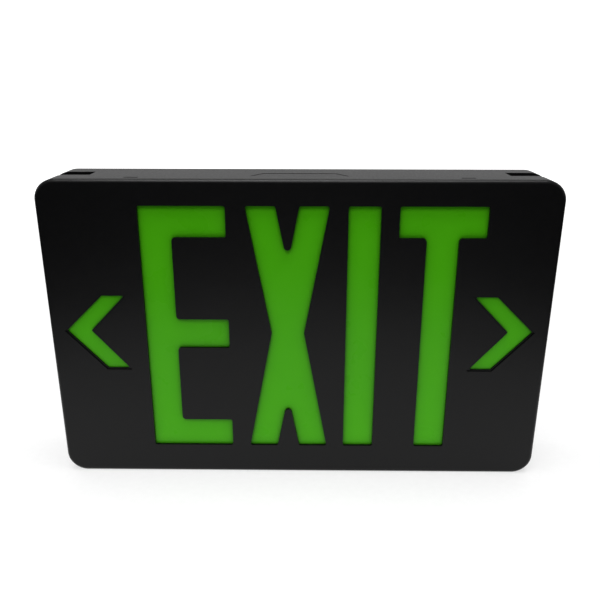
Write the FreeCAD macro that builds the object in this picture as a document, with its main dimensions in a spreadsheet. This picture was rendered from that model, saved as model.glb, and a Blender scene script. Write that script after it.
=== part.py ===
import FreeCAD, Part
import math
import os
import re

import Sketcher

# Emergency exit sign: a stencil face plate over a green colour panel, a moulded housing frame, a screwed
# back plate, and the light bars, circuit board, battery and test button inside.
#
# Frame: X to the reader's right, Y from the face into the sign, Z up. The origin is under the middle of
# the sign, on the surface that it stands on. "Depth" below is counted from the front of the face plate.

SIZES = (
    # Overall form
    ("width", 295.2, "sign, side to side"),
    ("height", 186.0, "sign, bottom to top"),
    ("depth", 42.0, "face to back"),
    ("corner_radius", 12.0, "outline corners"),
    ("wall", 2.4, "housing frame wall"),
    # Face plate
    ("skin", 1.8, "face plate thickness behind the letters"),
    ("rim_depth", 3.0, "face plate depth at its rim"),
    ("edge_round", 2.0, "rounding of the face's outer edge"),
    ("lip_gap", 0.25, "clearance between the lip and the frame"),
    ("lip_wall", 1.5, "thickness of the locating lip"),
    ("lip_reach", 5.8, "how far the lip enters the frame"),
    ("hook_height", 1.6, "snap hook above the lip"),
    ("hook_depth", 1.4, "snap hook along the depth"),
    ("peg_radius", 1.5, "pegs that carry the colour panel"),
    ("peg_head_radius", 2.5, "melted heads of the pegs"),
    ("peg_head_depth", 0.6, "thickness of the melted heads"),
    ("peg_inset", 8.6, "pegs from the top and bottom edges"),
    ("peg_outer", 122.0, "outer pegs from the centre line"),
    ("peg_inner", 47.5, "inner pegs from the centre line"),
    # Legend
    ("letter_bottom", 19.0, "feet of the letters above the base"),
    ("letter_height", 152.4, "height of the letters"),
    ("stroke", 18.4, "upright strokes"),
    ("crossbar", 18.2, "level strokes"),
    ("bar_drop", 0.5, "middle bar below mid-height"),
    ("word_left", 90.8, "left end of the word from the centre line"),
    ("first_letter_width", 49.3, "E"),
    ("second_letter_width", 47.9, "X"),
    ("last_letter_width", 49.8, "T"),
    ("first_gap", 10.9, "space after the E"),
    ("letter_gap", 10.3, "space between the other letters"),
    ("waist", 19.3, "width of the X at mid-height"),
    ("cleft_width", 13.5, "mouth of the cleft in the X"),
    ("cleft_depth", 34.2, "depth of the cleft in the X"),
    ("letter_round", 1.2, "outer corners of the letters"),
    ("crotch_round", 2.1, "inner corners of the letters"),
    # Direction arrows
    ("arrow_tip", 138.2, "tip from the centre line"),
    ("arrow_vertex", 123.6, "inner vertex from the centre line"),
    ("arrow_outer_end", 115.7, "outer corner of an arm's end"),
    ("arrow_inner_end", 102.4, "inner corner of an arm's end"),
    ("arrow_height", 96.2, "tip above the base"),
    ("arrow_rise", 21.9, "upper arm above the tip"),
    ("arrow_drop", 24.3, "lower arm below the tip"),
    ("arrow_step", 0.9, "knock-out step round each arrow"),
    ("arrow_step_depth", 0.8, "depth of that step"),
    ("arrow_round", 0.6, "corners of the arrows"),
    # Colour panel
    ("panel_thickness", 1.2, "green colour panel"),
    ("panel_gap", 0.3, "clearance round the colour panel"),
    ("peg_hole_gap", 0.2, "clearance round the pegs"),
    # Housing frame
    ("groove_width", 0.6, "parting groove behind the face plate"),
    ("groove_depth", 0.5, "its depth"),
    ("window_width", 8.0, "snap windows along the edge"),
    ("window_depth", 2.0, "snap windows across the edge"),
    ("window_place", 94.5, "snap windows from the centre line"),
    ("window_start", 6.6, "front side of the snap windows"),
    ("slot_reach", 27.2, "corner slots back from the outline corner"),
    ("slot_front", 16.4, "front side of the corner slots"),
    ("slot_width", 12.2, "corner slots along the depth"),
    ("slot_floor", 8.0, "depth of the corner slots"),
    ("slot_wall", 1.6, "wall round the corner slots"),
    ("recess_front_half", 28.3, "canopy recess, half width at its front"),
    ("recess_back_half", 21.3, "canopy recess, half width at its back"),
    ("recess_front", 13.6, "front side of the canopy recess"),
    ("recess_length", 10.6, "canopy recess along the depth"),
    ("recess_depth", 1.2, "canopy recess into the top wall"),
    ("screw_inset", 7.6, "back plate screws from the outline"),
    ("corner_boss_radius", 3.75, "bosses for the back plate screws"),
    ("corner_boss_length", 9.4, "their length"),
    ("rib_width", 1.2, "stiffening ribs"),
    ("rib_height", 2.6, "stiffening ribs into the frame"),
    ("rib_pitch", 56.0, "spacing of the ribs"),
    # Back plate
    ("back_thickness", 2.4, "back plate"),
    ("back_gap", 0.15, "clearance round the back plate"),
    ("wire_hole_radius", 11.1, "wire entry"),
    ("box_hole_radius", 2.25, "holes for the junction box screws"),
    ("box_spacing", 88.9, "level pair of box holes"),
    ("short_box_spacing", 69.85, "upright pair of box holes"),
    ("key_spacing", 152.4, "keyholes, side to side"),
    ("key_height", 128.0, "keyholes above the base"),
    ("key_head_radius", 4.2, "keyhole mouth"),
    ("key_neck_radius", 2.1, "keyhole neck"),
    ("key_drop", 8.0, "from neck end to mouth"),
    ("score_width", 0.8, "groove round a closed knock-out"),
    ("score_depth", 1.2, "its depth"),
    ("knockout_radius", 10.5, "closed knock-outs"),
    ("knockout_place", 62.0, "closed knock-outs from the centre line"),
    # Fasteners
    ("large_screw_radius", 1.4, "back plate screw shank"),
    ("large_head_radius", 3.0, "back plate screw head"),
    ("large_head_depth", 1.7, "back plate screw head"),
    ("large_screw_length", 9.0, "back plate screw"),
    ("small_screw_radius", 1.1, "board screw shank"),
    ("small_head_radius", 2.2, "board screw head"),
    ("small_head_depth", 1.4, "board screw head"),
    ("small_screw_length", 6.0, "board screw"),
    ("thread_gap", 0.05, "round a screw in its pilot hole"),
    ("pass_gap", 0.25, "round a screw in a clearance hole"),
    # Circuit board
    ("board_thickness", 1.6, "all circuit boards"),
    ("board_width", 76.0, "main board"),
    ("board_height", 62.0, "main board"),
    ("board_place", 93.0, "main board left of the centre line"),
    ("board_screw_inset", 4.0, "board screws from its edges"),
    ("board_post_length", 5.0, "posts under the main board"),
    ("post_radius", 2.6, "posts under the boards"),
    ("core_width", 30.0, "transformer core"),
    ("core_height", 25.0, "transformer core"),
    ("core_depth", 10.0, "transformer core"),
    ("core_limb", 5.0, "outer limbs of the core"),
    ("coil_overhang", 3.0, "winding above and below the core"),
    ("transformer_x", 108.0, "transformer left of the centre line"),
    ("transformer_z", 98.0, "transformer above the base"),
    ("capacitor_radius", 5.0, "large capacitors"),
    ("capacitor_height", 12.5, "large capacitors"),
    ("capacitor_pitch", 13.0, "spacing of the capacitors"),
    ("resistor_radius", 1.2, "resistors"),
    ("resistor_length", 6.5, "resistors"),
    ("resistor_pitch", 4.2, "spacing of the resistors"),
    ("regulator_width", 10.2, "charge regulator"),
    ("regulator_height", 9.0, "charge regulator"),
    ("regulator_thickness", 4.4, "charge regulator"),
    ("terminal_width", 10.5, "supply terminal"),
    ("terminal_pole", 5.0, "supply terminal, one pole"),
    ("terminal_height", 10.0, "supply terminal above the board"),
    ("socket_width", 7.5, "battery socket"),
    ("socket_length", 6.0, "battery socket"),
    ("socket_height", 6.0, "battery socket above the board"),
    ("socket_wall", 0.8, "battery socket"),
    ("plug_length", 8.5, "battery plug"),
    # Battery
    ("cell_radius", 7.25, "one cell in its sleeve"),
    ("cell_length", 50.5, "cells"),
    ("cell_count", 3, "cells side by side"),
    ("battery_place", 91.0, "battery right of the centre line"),
    ("battery_lift", 0.3, "battery off the back plate"),
    ("strap_thickness", 0.8, "battery strap"),
    ("strap_width", 12.0, "battery strap"),
    ("strap_foot", 9.0, "feet of the battery strap"),
    ("strap_gap", 0.3, "strap off the cells"),
    ("strap_post_length", 5.0, "posts under the strap's feet"),
    # Light bars
    ("light_bar_length", 236.0, "light bar boards"),
    ("light_bar_width", 10.0, "light bar boards"),
    ("light_bar_depth", 20.0, "front of the light bars"),
    ("light_bar_rise", 47.0, "light bars above and below the middle"),
    ("light_count", 12, "light sources on a bar"),
    ("light_pitch", 19.6, "spacing of the light sources"),
    ("light_width", 3.5, "light sources"),
    ("light_height", 2.8, "light sources"),
    ("light_thickness", 0.8, "light sources"),
    # Test button and pilot lamp, in the right end wall
    ("button_height", 36.0, "button above the base"),
    ("lamp_height", 50.0, "pilot lamp above the base"),
    ("test_depth", 24.0, "both from the face"),
    ("well_radius", 6.5, "finger well round the button"),
    ("well_depth", 1.4, "its depth"),
    ("well_floor", 2.0, "wall left under the well"),
    ("well_boss_radius", 8.5, "boss behind the well"),
    ("button_radius", 4.0, "button head"),
    ("button_sink", 0.3, "button head below the wall's face"),
    ("button_gap", 0.1, "clearance round the button"),
    ("button_flange_radius", 5.5, "flange that holds the button in"),
    ("button_flange", 1.2, "thickness of the flange"),
    ("stem_radius", 2.0, "button stem"),
    ("stem_gap", 0.05, "clearance round the stem"),
    ("stem_length", 6.5, "button stem"),
    ("button_travel", 1.5, "travel of the button"),
    ("switch_size", 12.0, "test switch"),
    ("switch_depth", 6.5, "test switch from its board"),
    ("spring_length", 3.5, "return spring at rest"),
    ("spring_wire", 0.25, "radius of the spring wire"),
    ("spring_radius", 3.1, "radius of the spring's turns"),
    ("spring_turns", 3, "turns of the spring"),
    ("lamp_radius", 2.5, "pilot lamp"),
    ("lamp_gap", 0.2, "clearance round the lamp"),
    ("lamp_sink", 0.3, "lamp's tip below the wall's face"),
    ("lamp_length", 10.0, "pilot lamp with its dome"),
    ("lamp_rim", 0.4, "rim of the lamp beyond its body"),
    ("lamp_rim_depth", 1.0, "thickness of that rim"),
    ("lamp_pin", 0.3, "radius of the lamp's pins"),
    ("lamp_pin_pitch", 2.54, "spacing of the lamp's pins"),
    ("test_board_height", 44.0, "test board"),
    ("test_board_width", 20.0, "test board"),
    ("test_post_rise", 17.0, "test board posts from its middle"),
    # Leads
    ("lead_radius", 0.8, "insulated wires"),
    ("lead_pitch", 2.2, "spacing of a pair of wires"),
)

doc = FreeCAD.newDocument("exit_sign")
sheet = doc.addObject("Spreadsheet::Sheet", "Sizes")
for row, (alias, value, meaning) in enumerate(SIZES, start=1):
    sheet.set(f"A{row}", meaning)
    sheet.set(f"B{row}", str(value))
    sheet.setAlias(f"B{row}", alias)
doc.recompute()

ALIASES = {alias for alias, value, meaning in SIZES}
WORD = re.compile(r"[a-z_]+")
NODES = []


def bind(text):
    """Turns a formula in plain size names into one that reads the sheet's cells."""
    return WORD.sub(lambda m: "Sizes." + m.group() if m.group() in ALIASES else m.group(), text)


class Values:
    """The sheet's numbers, for geometry that has no property to bind."""

    def __getattr__(self, name):
        return float(sheet.get(name))


v = Values()


def at_depth(depth):
    """Y of a plane that lies this far behind the front of the sign."""
    return depth - v.depth / 2


# ---------------------------------------------------------------------------------------------------------
# Sketch and feature helpers
# ---------------------------------------------------------------------------------------------------------


def new_body(label):
    body = doc.addObject("PartDesign::Body", label)
    body.Label = label
    NODES.append(body)
    return body


def new_sketch(body, name, role, offset):
    """A sketch on one of the body's origin planes, moved along the plane's normal by a formula."""
    sketch = body.newObject("Sketcher::SketchObject", name)
    plane = [item for item in body.Origin.OriginFeatures if item.Role == role][0]
    sketch.AttachmentSupport = [(plane, "")]
    sketch.MapMode = "FlatFace"
    sketch.setExpression(".AttachmentOffset.Base.z", bind(offset))
    return sketch


def face_sketch(body, name, depth):
    """A sketch seen from the front, this far behind the face. Its normal points at the reader."""
    return new_sketch(body, name, "XZ_Plane", f"depth / 2 - ({depth})")


def name_size(sketch, index, name, formula):
    sketch.renameConstraint(index, name)
    sketch.setExpression("Constraints." + name, bind(formula))


def rounded_rectangle(sketch, inset, tag=""):
    """The sign's outline, moved inwards by a formula, as four lines and four tangent arcs."""
    moved = evaluate(inset)
    half = v.width / 2 - moved
    low = moved
    high = v.height - moved
    radius = v.corner_radius - moved
    first = sketch.GeometryCount
    vec = FreeCAD.Vector
    lines = (
        (vec(-half + radius, low, 0), vec(half - radius, low, 0)),
        (vec(half, low + radius, 0), vec(half, high - radius, 0)),
        (vec(half - radius, high, 0), vec(-half + radius, high, 0)),
        (vec(-half, high - radius, 0), vec(-half, low + radius, 0)),
    )
    centres = (
        (half - radius, low + radius, -90),
        (half - radius, high - radius, 0),
        (-half + radius, high - radius, 90),
        (-half + radius, low + radius, 180),
    )
    for start, end in lines:
        sketch.addGeometry(Part.LineSegment(start, end), False)
    for x, z, angle in centres:
        circle = Part.Circle(vec(x, z, 0), vec(0, 0, 1), radius)
        arc = Part.ArcOfCircle(circle, math.radians(angle), math.radians(angle + 90))
        sketch.addGeometry(arc, False)
    add = sketch.addConstraint
    for side in range(4):
        line = first + side
        arc = first + 4 + side
        following = first + (side + 1) % 4
        add(Sketcher.Constraint("Tangent", line, 2, arc, 1))
        add(Sketcher.Constraint("Tangent", arc, 2, following, 1))
    for side in range(1, 4):
        add(Sketcher.Constraint("Equal", first + 4, first + 4 + side))
    add(Sketcher.Constraint("Vertical", first + 1))
    add(Sketcher.Constraint("Horizontal", first + 2))
    add(Sketcher.Constraint("Vertical", first + 3))
    add(Sketcher.Constraint("Symmetric", first, 1, first, 2, -2))
    corner = add(Sketcher.Constraint("Radius", first + 4, radius))
    name_size(sketch, corner, "corner" + tag, f"corner_radius - ({inset})")
    span = add(Sketcher.Constraint("DistanceX", first + 3, 1, first + 1, 1, 2 * half))
    name_size(sketch, span, "span" + tag, f"width - 2 * ({inset})")
    rise = add(Sketcher.Constraint("DistanceY", first, 1, first + 2, 2, high - low))
    name_size(sketch, rise, "rise" + tag, f"height - 2 * ({inset})")
    foot = add(Sketcher.Constraint("DistanceY", -1, 1, first, 1, low))
    name_size(sketch, foot, "foot" + tag, inset)


def evaluate(formula):
    """The present value of a formula in size names."""
    cell = doc.addObject("App::FeaturePython", "Scratch")
    cell.addProperty("App::PropertyFloat", "Result")
    cell.setExpression("Result", bind(formula))
    cell.recompute()
    result = cell.Result
    doc.removeObject(cell.Name)
    return result


def circles(sketch, centres, radius, tag=""):
    """Equal circles whose radius is a formula."""
    first = sketch.GeometryCount
    for x, z in centres:
        circle = Part.Circle(FreeCAD.Vector(x, z, 0), FreeCAD.Vector(0, 0, 1), evaluate(radius))
        sketch.addGeometry(circle, False)
    for other in range(first + 1, sketch.GeometryCount):
        sketch.addConstraint(Sketcher.Constraint("Equal", first, other))
    size = sketch.addConstraint(Sketcher.Constraint("Radius", first, evaluate(radius)))
    name_size(sketch, size, "radius" + tag, radius)


def outline(sketch, corners):
    """A closed outline through (x, z, corner radius) points; a corner with a radius becomes an arc."""
    vec = FreeCAD.Vector
    points = [vec(x, z, 0) for x, z, radius in corners]
    count = len(points)
    starts = []
    ends = []
    arcs = []
    for index, (x, z, radius) in enumerate(corners):
        here = points[index]
        before = (points[index - 1] - here).normalize()
        after = (points[(index + 1) % count] - here).normalize()
        half = before.getAngle(after) / 2
        reach = radius / math.tan(half) if radius else 0
        starts.append(here + before * reach)
        ends.append(here + after * reach)
        middle = None
        if radius:
            bisector = (before + after).normalize()
            middle = here + bisector * (radius / math.sin(half) - radius)
        arcs.append(middle)
    for index in range(count):
        following = (index + 1) % count
        sketch.addGeometry(Part.LineSegment(ends[index], starts[following]), False)
        if arcs[following]:
            arc = Part.Arc(starts[following], arcs[following], ends[following])
            sketch.addGeometry(arc, False)


def pad(body, sketch, name, length, rearward=True, both_ways=False):
    feature = body.newObject("PartDesign::Pad", name)
    feature.Profile = sketch
    feature.setExpression("Length", bind(length))
    feature.Reversed = rearward
    if both_ways:
        feature.SideType = "Symmetric"
        feature.Reversed = False
    sketch.Visibility = False
    doc.recompute()
    return feature


def pocket(body, sketch, name, length, rearward=True, both_ways=False):
    feature = body.newObject("PartDesign::Pocket", name)
    feature.Profile = sketch
    feature.setExpression("Length", bind(length))
    feature.Reversed = not rearward
    if both_ways:
        feature.SideType = "Symmetric"
        feature.Reversed = False
    sketch.Visibility = False
    before = body.Tip.BaseFeature.Shape.Volume
    doc.recompute()
    if feature.Shape.Volume > before - 1e-6:
        raise RuntimeError(f"{name} cuts nothing from {body.Label}")
    return feature


def edge_names(feature, test):
    """Names of the edges whose every end and middle passes a test."""
    names = []
    for index, edge in enumerate(feature.Shape.Edges, start=1):
        middle = edge.valueAt((edge.FirstParameter + edge.LastParameter) / 2)
        if all(test(point) for point in [vertex.Point for vertex in edge.Vertexes] + [middle]):
            names.append(f"Edge{index}")
    return names


def round_edges(body, name, radius, test):
    base = body.Tip
    feature = body.newObject("PartDesign::Fillet", name)
    feature.Base = (base, edge_names(base, test))
    feature.setExpression("Radius", bind(radius))
    doc.recompute()
    return feature


def bevel_edges(body, name, size, test):
    base = body.Tip
    feature = body.newObject("PartDesign::Chamfer", name)
    feature.Base = (base, edge_names(base, test))
    feature.setExpression("Size", bind(size))
    doc.recompute()
    return feature


def place(item, x, y, z):
    item.setExpression(".Placement.Base.x", bind(x))
    item.setExpression(".Placement.Base.y", bind(y))
    item.setExpression(".Placement.Base.z", bind(z))


def block(name, x, depth, z, length, breadth, height):
    """A box from its low corner. Breadth runs along the depth."""
    item = doc.addObject("Part::Box", name)
    item.setExpression("Length", bind(length))
    item.setExpression("Width", bind(breadth))
    item.setExpression("Height", bind(height))
    place(item, x, f"{depth} - depth / 2", z)
    return item


TURNS = {
    "X": FreeCAD.Rotation(FreeCAD.Vector(0, 1, 0), 90),
    "Y": FreeCAD.Rotation(FreeCAD.Vector(1, 0, 0), -90),
    "Z": FreeCAD.Rotation(),
}


def rod(name, x, depth, z, radius, length, along="Y"):
    """A cylinder from the middle of its low end, along one axis."""
    item = doc.addObject("Part::Cylinder", name)
    item.Placement = FreeCAD.Placement(FreeCAD.Vector(), TURNS[along])
    item.setExpression("Radius", bind(radius))
    item.setExpression("Height", bind(length))
    place(item, x, f"{depth} - depth / 2", z)
    return item


def cone(name, x, depth, z, low_radius, high_radius, length, along="Y"):
    item = doc.addObject("Part::Cone", name)
    item.Placement = FreeCAD.Placement(FreeCAD.Vector(), TURNS[along])
    item.setExpression("Radius1", bind(low_radius))
    item.setExpression("Radius2", bind(high_radius))
    item.setExpression("Height", bind(length))
    place(item, x, f"{depth} - depth / 2", z)
    return item


def join(name, items):
    fuse = doc.addObject("Part::MultiFuse", name)
    fuse.Shapes = items
    return fuse


def cut(name, base, tool):
    item = doc.addObject("Part::Cut", name)
    item.Base = base
    item.Tool = tool
    return item


def group(name, items):
    """Separate solids that share one node."""
    compound = doc.addObject("Part::Compound", name)
    compound.Links = items
    return compound


def keep(item, label):
    item.Label = label
    NODES.append(item)
    return item


# ---------------------------------------------------------------------------------------------------------
# Legend
# ---------------------------------------------------------------------------------------------------------


def letter_spans():
    """Left and right sides of the four letters."""
    left = -v.word_left
    widths = (v.first_letter_width, v.second_letter_width, v.stroke, v.last_letter_width)
    gaps = (v.first_gap, v.letter_gap, v.letter_gap, 0)
    spans = []
    for width, gap in zip(widths, gaps):
        spans.append((left, left + width))
        left += width + gap
    return spans


def letter_e(left, right):
    low = v.letter_bottom
    high = low + v.letter_height
    middle = (low + high) / 2 - v.bar_drop
    stem = left + v.stroke
    outer = v.letter_round
    inner = v.crotch_round
    return (
        (left, low, outer),
        (right, low, outer),
        (right, low + v.crossbar, outer),
        (stem, low + v.crossbar, inner),
        (stem, middle - v.crossbar / 2, inner),
        (right, middle - v.crossbar / 2, outer),
        (right, middle + v.crossbar / 2, outer),
        (stem, middle + v.crossbar / 2, inner),
        (stem, high - v.crossbar, inner),
        (right, high - v.crossbar, outer),
        (right, high, outer),
        (left, high, outer),
    )


def letter_x(left, right):
    low = v.letter_bottom
    high = low + v.letter_height
    middle = (low + high) / 2
    centre = (left + right) / 2
    mouth = v.cleft_width / 2
    outer = v.letter_round
    inner = v.crotch_round
    return (
        (left, low, outer),
        (centre - mouth, low, outer),
        (centre, low + v.cleft_depth, inner),
        (centre + mouth, low, outer),
        (right, low, outer),
        (centre + v.waist / 2, middle, inner),
        (right, high, outer),
        (centre + mouth, high, outer),
        (centre, high - v.cleft_depth, inner),
        (centre - mouth, high, outer),
        (left, high, outer),
        (centre - v.waist / 2, middle, inner),
    )


def letter_i(left, right):
    low = v.letter_bottom
    high = low + v.letter_height
    return tuple((x, z, v.letter_round) for x, z in ((left, low), (right, low), (right, high), (left, high)))


def letter_t(left, right):
    low = v.letter_bottom
    high = low + v.letter_height
    centre = (left + right) / 2
    half = v.stroke / 2
    outer = v.letter_round
    inner = v.crotch_round
    return (
        (centre - half, low, outer),
        (centre + half, low, outer),
        (centre + half, high - v.crossbar, inner),
        (right, high - v.crossbar, outer),
        (right, high, outer),
        (left, high, outer),
        (left, high - v.crossbar, outer),
        (centre - half, high - v.crossbar, inner),
    )


def grown(points, amount):
    """A counter-clockwise outline with every side moved outwards by an amount."""
    count = len(points)
    result = []
    for index, here in enumerate(points):
        before = points[index - 1]
        after = points[(index + 1) % count]
        into = (here - before).normalize()
        out = (after - here).normalize()
        turn = into.cross(out).z
        push_in = FreeCAD.Vector(into.y, -into.x, 0)
        push_out = FreeCAD.Vector(out.y, -out.x, 0)
        along = (push_out - push_in).dot(push_out) * amount / turn
        result.append(here + push_in * amount + into * along)
    return result


def arrow(side, growth):
    """One direction arrow: side is -1 on the left and 1 on the right."""
    top = v.arrow_height + v.arrow_rise
    bottom = v.arrow_height - v.arrow_drop
    points = [
        FreeCAD.Vector(side * v.arrow_tip, v.arrow_height, 0),
        FreeCAD.Vector(side * v.arrow_outer_end, top, 0),
        FreeCAD.Vector(side * v.arrow_inner_end, top, 0),
        FreeCAD.Vector(side * v.arrow_vertex, v.arrow_height, 0),
        FreeCAD.Vector(side * v.arrow_inner_end, bottom, 0),
        FreeCAD.Vector(side * v.arrow_outer_end, bottom, 0),
    ]
    if side < 0:
        points.reverse()
    return tuple((point.x, point.y, v.arrow_round) for point in grown(points, growth))


# ---------------------------------------------------------------------------------------------------------
# Face plate, colour panel, housing frame and back plate
# ---------------------------------------------------------------------------------------------------------

LIP_OUTER = "(wall + lip_gap)"
LIP_INNER = "(wall + lip_gap + lip_wall)"


def peg_places():
    low = v.peg_inset
    high = v.height - v.peg_inset
    columns = (-v.peg_outer, -v.peg_inner, v.peg_inner, v.peg_outer)
    return [(x, z) for x in columns for z in (low, high)]


def face_plate():
    """The stencil: a shallow moulded tray whose front carries the letter and arrow openings."""
    body = new_body("face_plate")
    front = face_sketch(body, "FaceOutline", "0")
    rounded_rectangle(front, "0")
    pad(body, front, "Face", "rim_depth")
    face = at_depth(0)
    round_edges(body, "FaceEdge", "edge_round", lambda point: abs(point.y - face) < 1e-4)
    hollow = face_sketch(body, "HollowOutline", "skin")
    rounded_rectangle(hollow, LIP_INNER)
    pocket(body, hollow, "Hollow", "rim_depth")
    lip = face_sketch(body, "LipOutline", "rim_depth")
    rounded_rectangle(lip, LIP_OUTER)
    rounded_rectangle(lip, LIP_INNER, "_inner")
    pad(body, lip, "Lip", "lip_reach")
    for side in (-1, 1):
        hooks(body, side)
    pegs(body)
    for side, name in ((-1, "Left"), (1, "Right")):
        step = face_sketch(body, name + "ArrowStep", "0")
        outline(step, arrow(side, v.arrow_step))
        pocket(body, step, name + "ArrowKnockOut", "arrow_step_depth")
        opening = face_sketch(body, name + "ArrowOutline", "0")
        outline(opening, arrow(side, 0))
        pocket(body, opening, name + "Arrow", "rim_depth")
    for name, shape, span in zip("EXIT", (letter_e, letter_x, letter_i, letter_t), letter_spans()):
        opening = face_sketch(body, "Outline" + name, "0")
        outline(opening, shape(*span))
        pocket(body, opening, "Letter" + name, "rim_depth")
    return body


def hooks(body, side):
    """Snap hooks at the top and bottom of the lip, which enter the frame's windows."""
    start = at_depth(v.window_start + (v.window_depth - v.hook_depth) / 2)
    end = start + v.hook_depth
    root = v.wall + v.lip_gap
    for name, level, way in (("Bottom", 0, 1), ("Top", v.height, -1)):
        profile = new_sketch(body, f"{name}Hook{side + 1}", "YZ_Plane", f"{side} * window_place")
        base = level + way * (root + v.lip_wall / 2)
        foot = level + way * root
        crest = level + way * (root - v.hook_height)
        outline(profile, ((start, base, 0), (start, crest, 0), (end, foot, 0), (end, base, 0)))
        pad(body, profile, f"{name}Snap{side + 1}", "window_width - 1", both_ways=True)


def pegs(body):
    """Pegs through the colour panel, with heads melted over it."""
    shanks = face_sketch(body, "PegPlaces", "skin")
    circles(shanks, peg_places(), "peg_radius")
    pad(body, shanks, "Pegs", "panel_thickness")
    heads = face_sketch(body, "PegHeadPlaces", "skin + panel_thickness")
    circles(heads, peg_places(), "peg_head_radius")
    pad(body, heads, "PegHeads", "peg_head_depth")


def colour_panel():
    body = new_body("colour_panel")
    sheet_outline = face_sketch(body, "PanelOutline", "skin")
    rounded_rectangle(sheet_outline, f"{LIP_INNER} + panel_gap")
    circles(sheet_outline, peg_places(), "peg_radius + peg_hole_gap", "_peg")
    pad(body, sheet_outline, "Panel", "panel_thickness")
    return body


def corner_channel(side, reach, floor):
    """The band that wraps one top corner of the outline, from the outline in to a floor."""
    outer = v.corner_radius
    right = v.width / 2
    top = v.height
    corners = (
        (right - reach, top, 0),
        (right - reach, top - floor, 0),
        (right - floor, top - floor, outer - floor if outer > floor else 0),
        (right - floor, top - reach, 0),
        (right, top - reach, 0),
        (right, top, outer),
    )
    return tuple((side * x, z, radius) for x, z, radius in corners)


def corner_screws():
    across = v.width / 2 - v.screw_inset
    return [(x, z) for x in (-across, across) for z in (v.screw_inset, v.height - v.screw_inset)]


def housing_frame():
    """The moulded ring between the face plate and the back plate."""
    body = new_body("housing_frame")
    neck = face_sketch(body, "GrooveOutline", "rim_depth")
    rounded_rectangle(neck, "groove_depth")
    pad(body, neck, "PartingGroove", "groove_width")
    ring = face_sketch(body, "FrameOutline", "rim_depth + groove_width")
    rounded_rectangle(ring, "0")
    pad(body, ring, "Frame", "depth - rim_depth - groove_width")
    inside = face_sketch(body, "InsideOutline", "rim_depth")
    rounded_rectangle(inside, "wall")
    pocket(body, inside, "Inside", "depth")
    ribs(body)
    for side, name in ((-1, "Left"), (1, "Right")):
        lining = face_sketch(body, name + "SlotLining", "slot_front - slot_wall")
        reach = v.slot_reach + v.slot_wall
        outline(lining, corner_channel(side, reach, v.slot_floor + v.slot_wall))
        pad(body, lining, name + "SlotBlock", "slot_width + 2 * slot_wall")
        opening = face_sketch(body, name + "SlotOutline", "slot_front")
        outline(opening, slot_cutter(side))
        pocket(body, opening, name + "Slot", "slot_width")
    bosses = face_sketch(body, "BossPlaces", "depth - back_thickness - corner_boss_length")
    circles(bosses, corner_screws(), "corner_boss_radius")
    pad(body, bosses, "CornerBosses", "corner_boss_length")
    rebate = face_sketch(body, "RebateOutline", "depth - back_thickness")
    rounded_rectangle(rebate, "wall / 2")
    pocket(body, rebate, "Rebate", "depth")
    pilots = face_sketch(body, "PilotPlaces", "depth - back_thickness")
    circles(pilots, corner_screws(), "large_screw_radius + thread_gap")
    pocket(body, pilots, "CornerPilots", "large_screw_length - back_thickness + 1", rearward=False)
    snap_windows(body)
    canopy_recess(body)
    test_station(body)
    return body


def ribs(body):
    """Short stiffening ribs across the top and bottom walls, clear of the snap windows."""
    count = 4
    first = -(count - 1) / 2 * v.rib_pitch
    places = face_sketch(body, "RibPlaces", "rim_depth + lip_reach + 1")
    for index in range(count):
        x = first + index * v.rib_pitch
        for low in (v.wall / 2, v.height - v.wall - v.rib_height):
            high = low + v.rib_height + v.wall / 2
            half = v.rib_width / 2
            outline(places, ((x - half, low, 0), (x + half, low, 0), (x + half, high, 0), (x - half, high, 0)))
    pad(body, places, "Ribs", "depth - back_thickness - rim_depth - lip_reach - 2")


def slot_cutter(side):
    """The slot's own outline: the band with its outer side carried past the outline."""
    reach = v.slot_reach
    floor = v.slot_floor
    right = v.width / 2
    top = v.height
    spare = 1.0
    inner = v.corner_radius - floor if v.corner_radius > floor else 0
    corners = (
        (right - reach, top + spare, 0),
        (right - reach, top - floor, 0),
        (right - floor, top - floor, inner),
        (right - floor, top - reach, 0),
        (right + spare, top - reach, 0),
        (right + spare, top + spare, 0),
    )
    return tuple((side * x, z, radius) for x, z, radius in corners)


def snap_windows(body):
    for side in (-1, 1):
        opening = new_sketch(body, f"WindowOutline{side + 1}", "XY_Plane", "height + 1")
        x = side * v.window_place
        half = v.window_width / 2
        front = at_depth(v.window_start)
        back = front + v.window_depth
        outline(opening, ((x - half, front, 0), (x + half, front, 0), (x + half, back, 0), (x - half, back, 0)))
        pocket(body, opening, f"SnapWindows{side + 1}", "height + 2")


def canopy_recess(body):
    """The shallow seat for a ceiling canopy in the middle of the top wall."""
    seat = new_sketch(body, "CanopyOutline", "XY_Plane", "height")
    front = at_depth(v.recess_front)
    back = front + v.recess_length
    wide = v.recess_front_half
    narrow = v.recess_back_half
    outline(seat, ((-wide, front, 0), (wide, front, 0), (narrow, back, 0), (-narrow, back, 0)))
    pocket(body, seat, "CanopySeat", "recess_depth")


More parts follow.
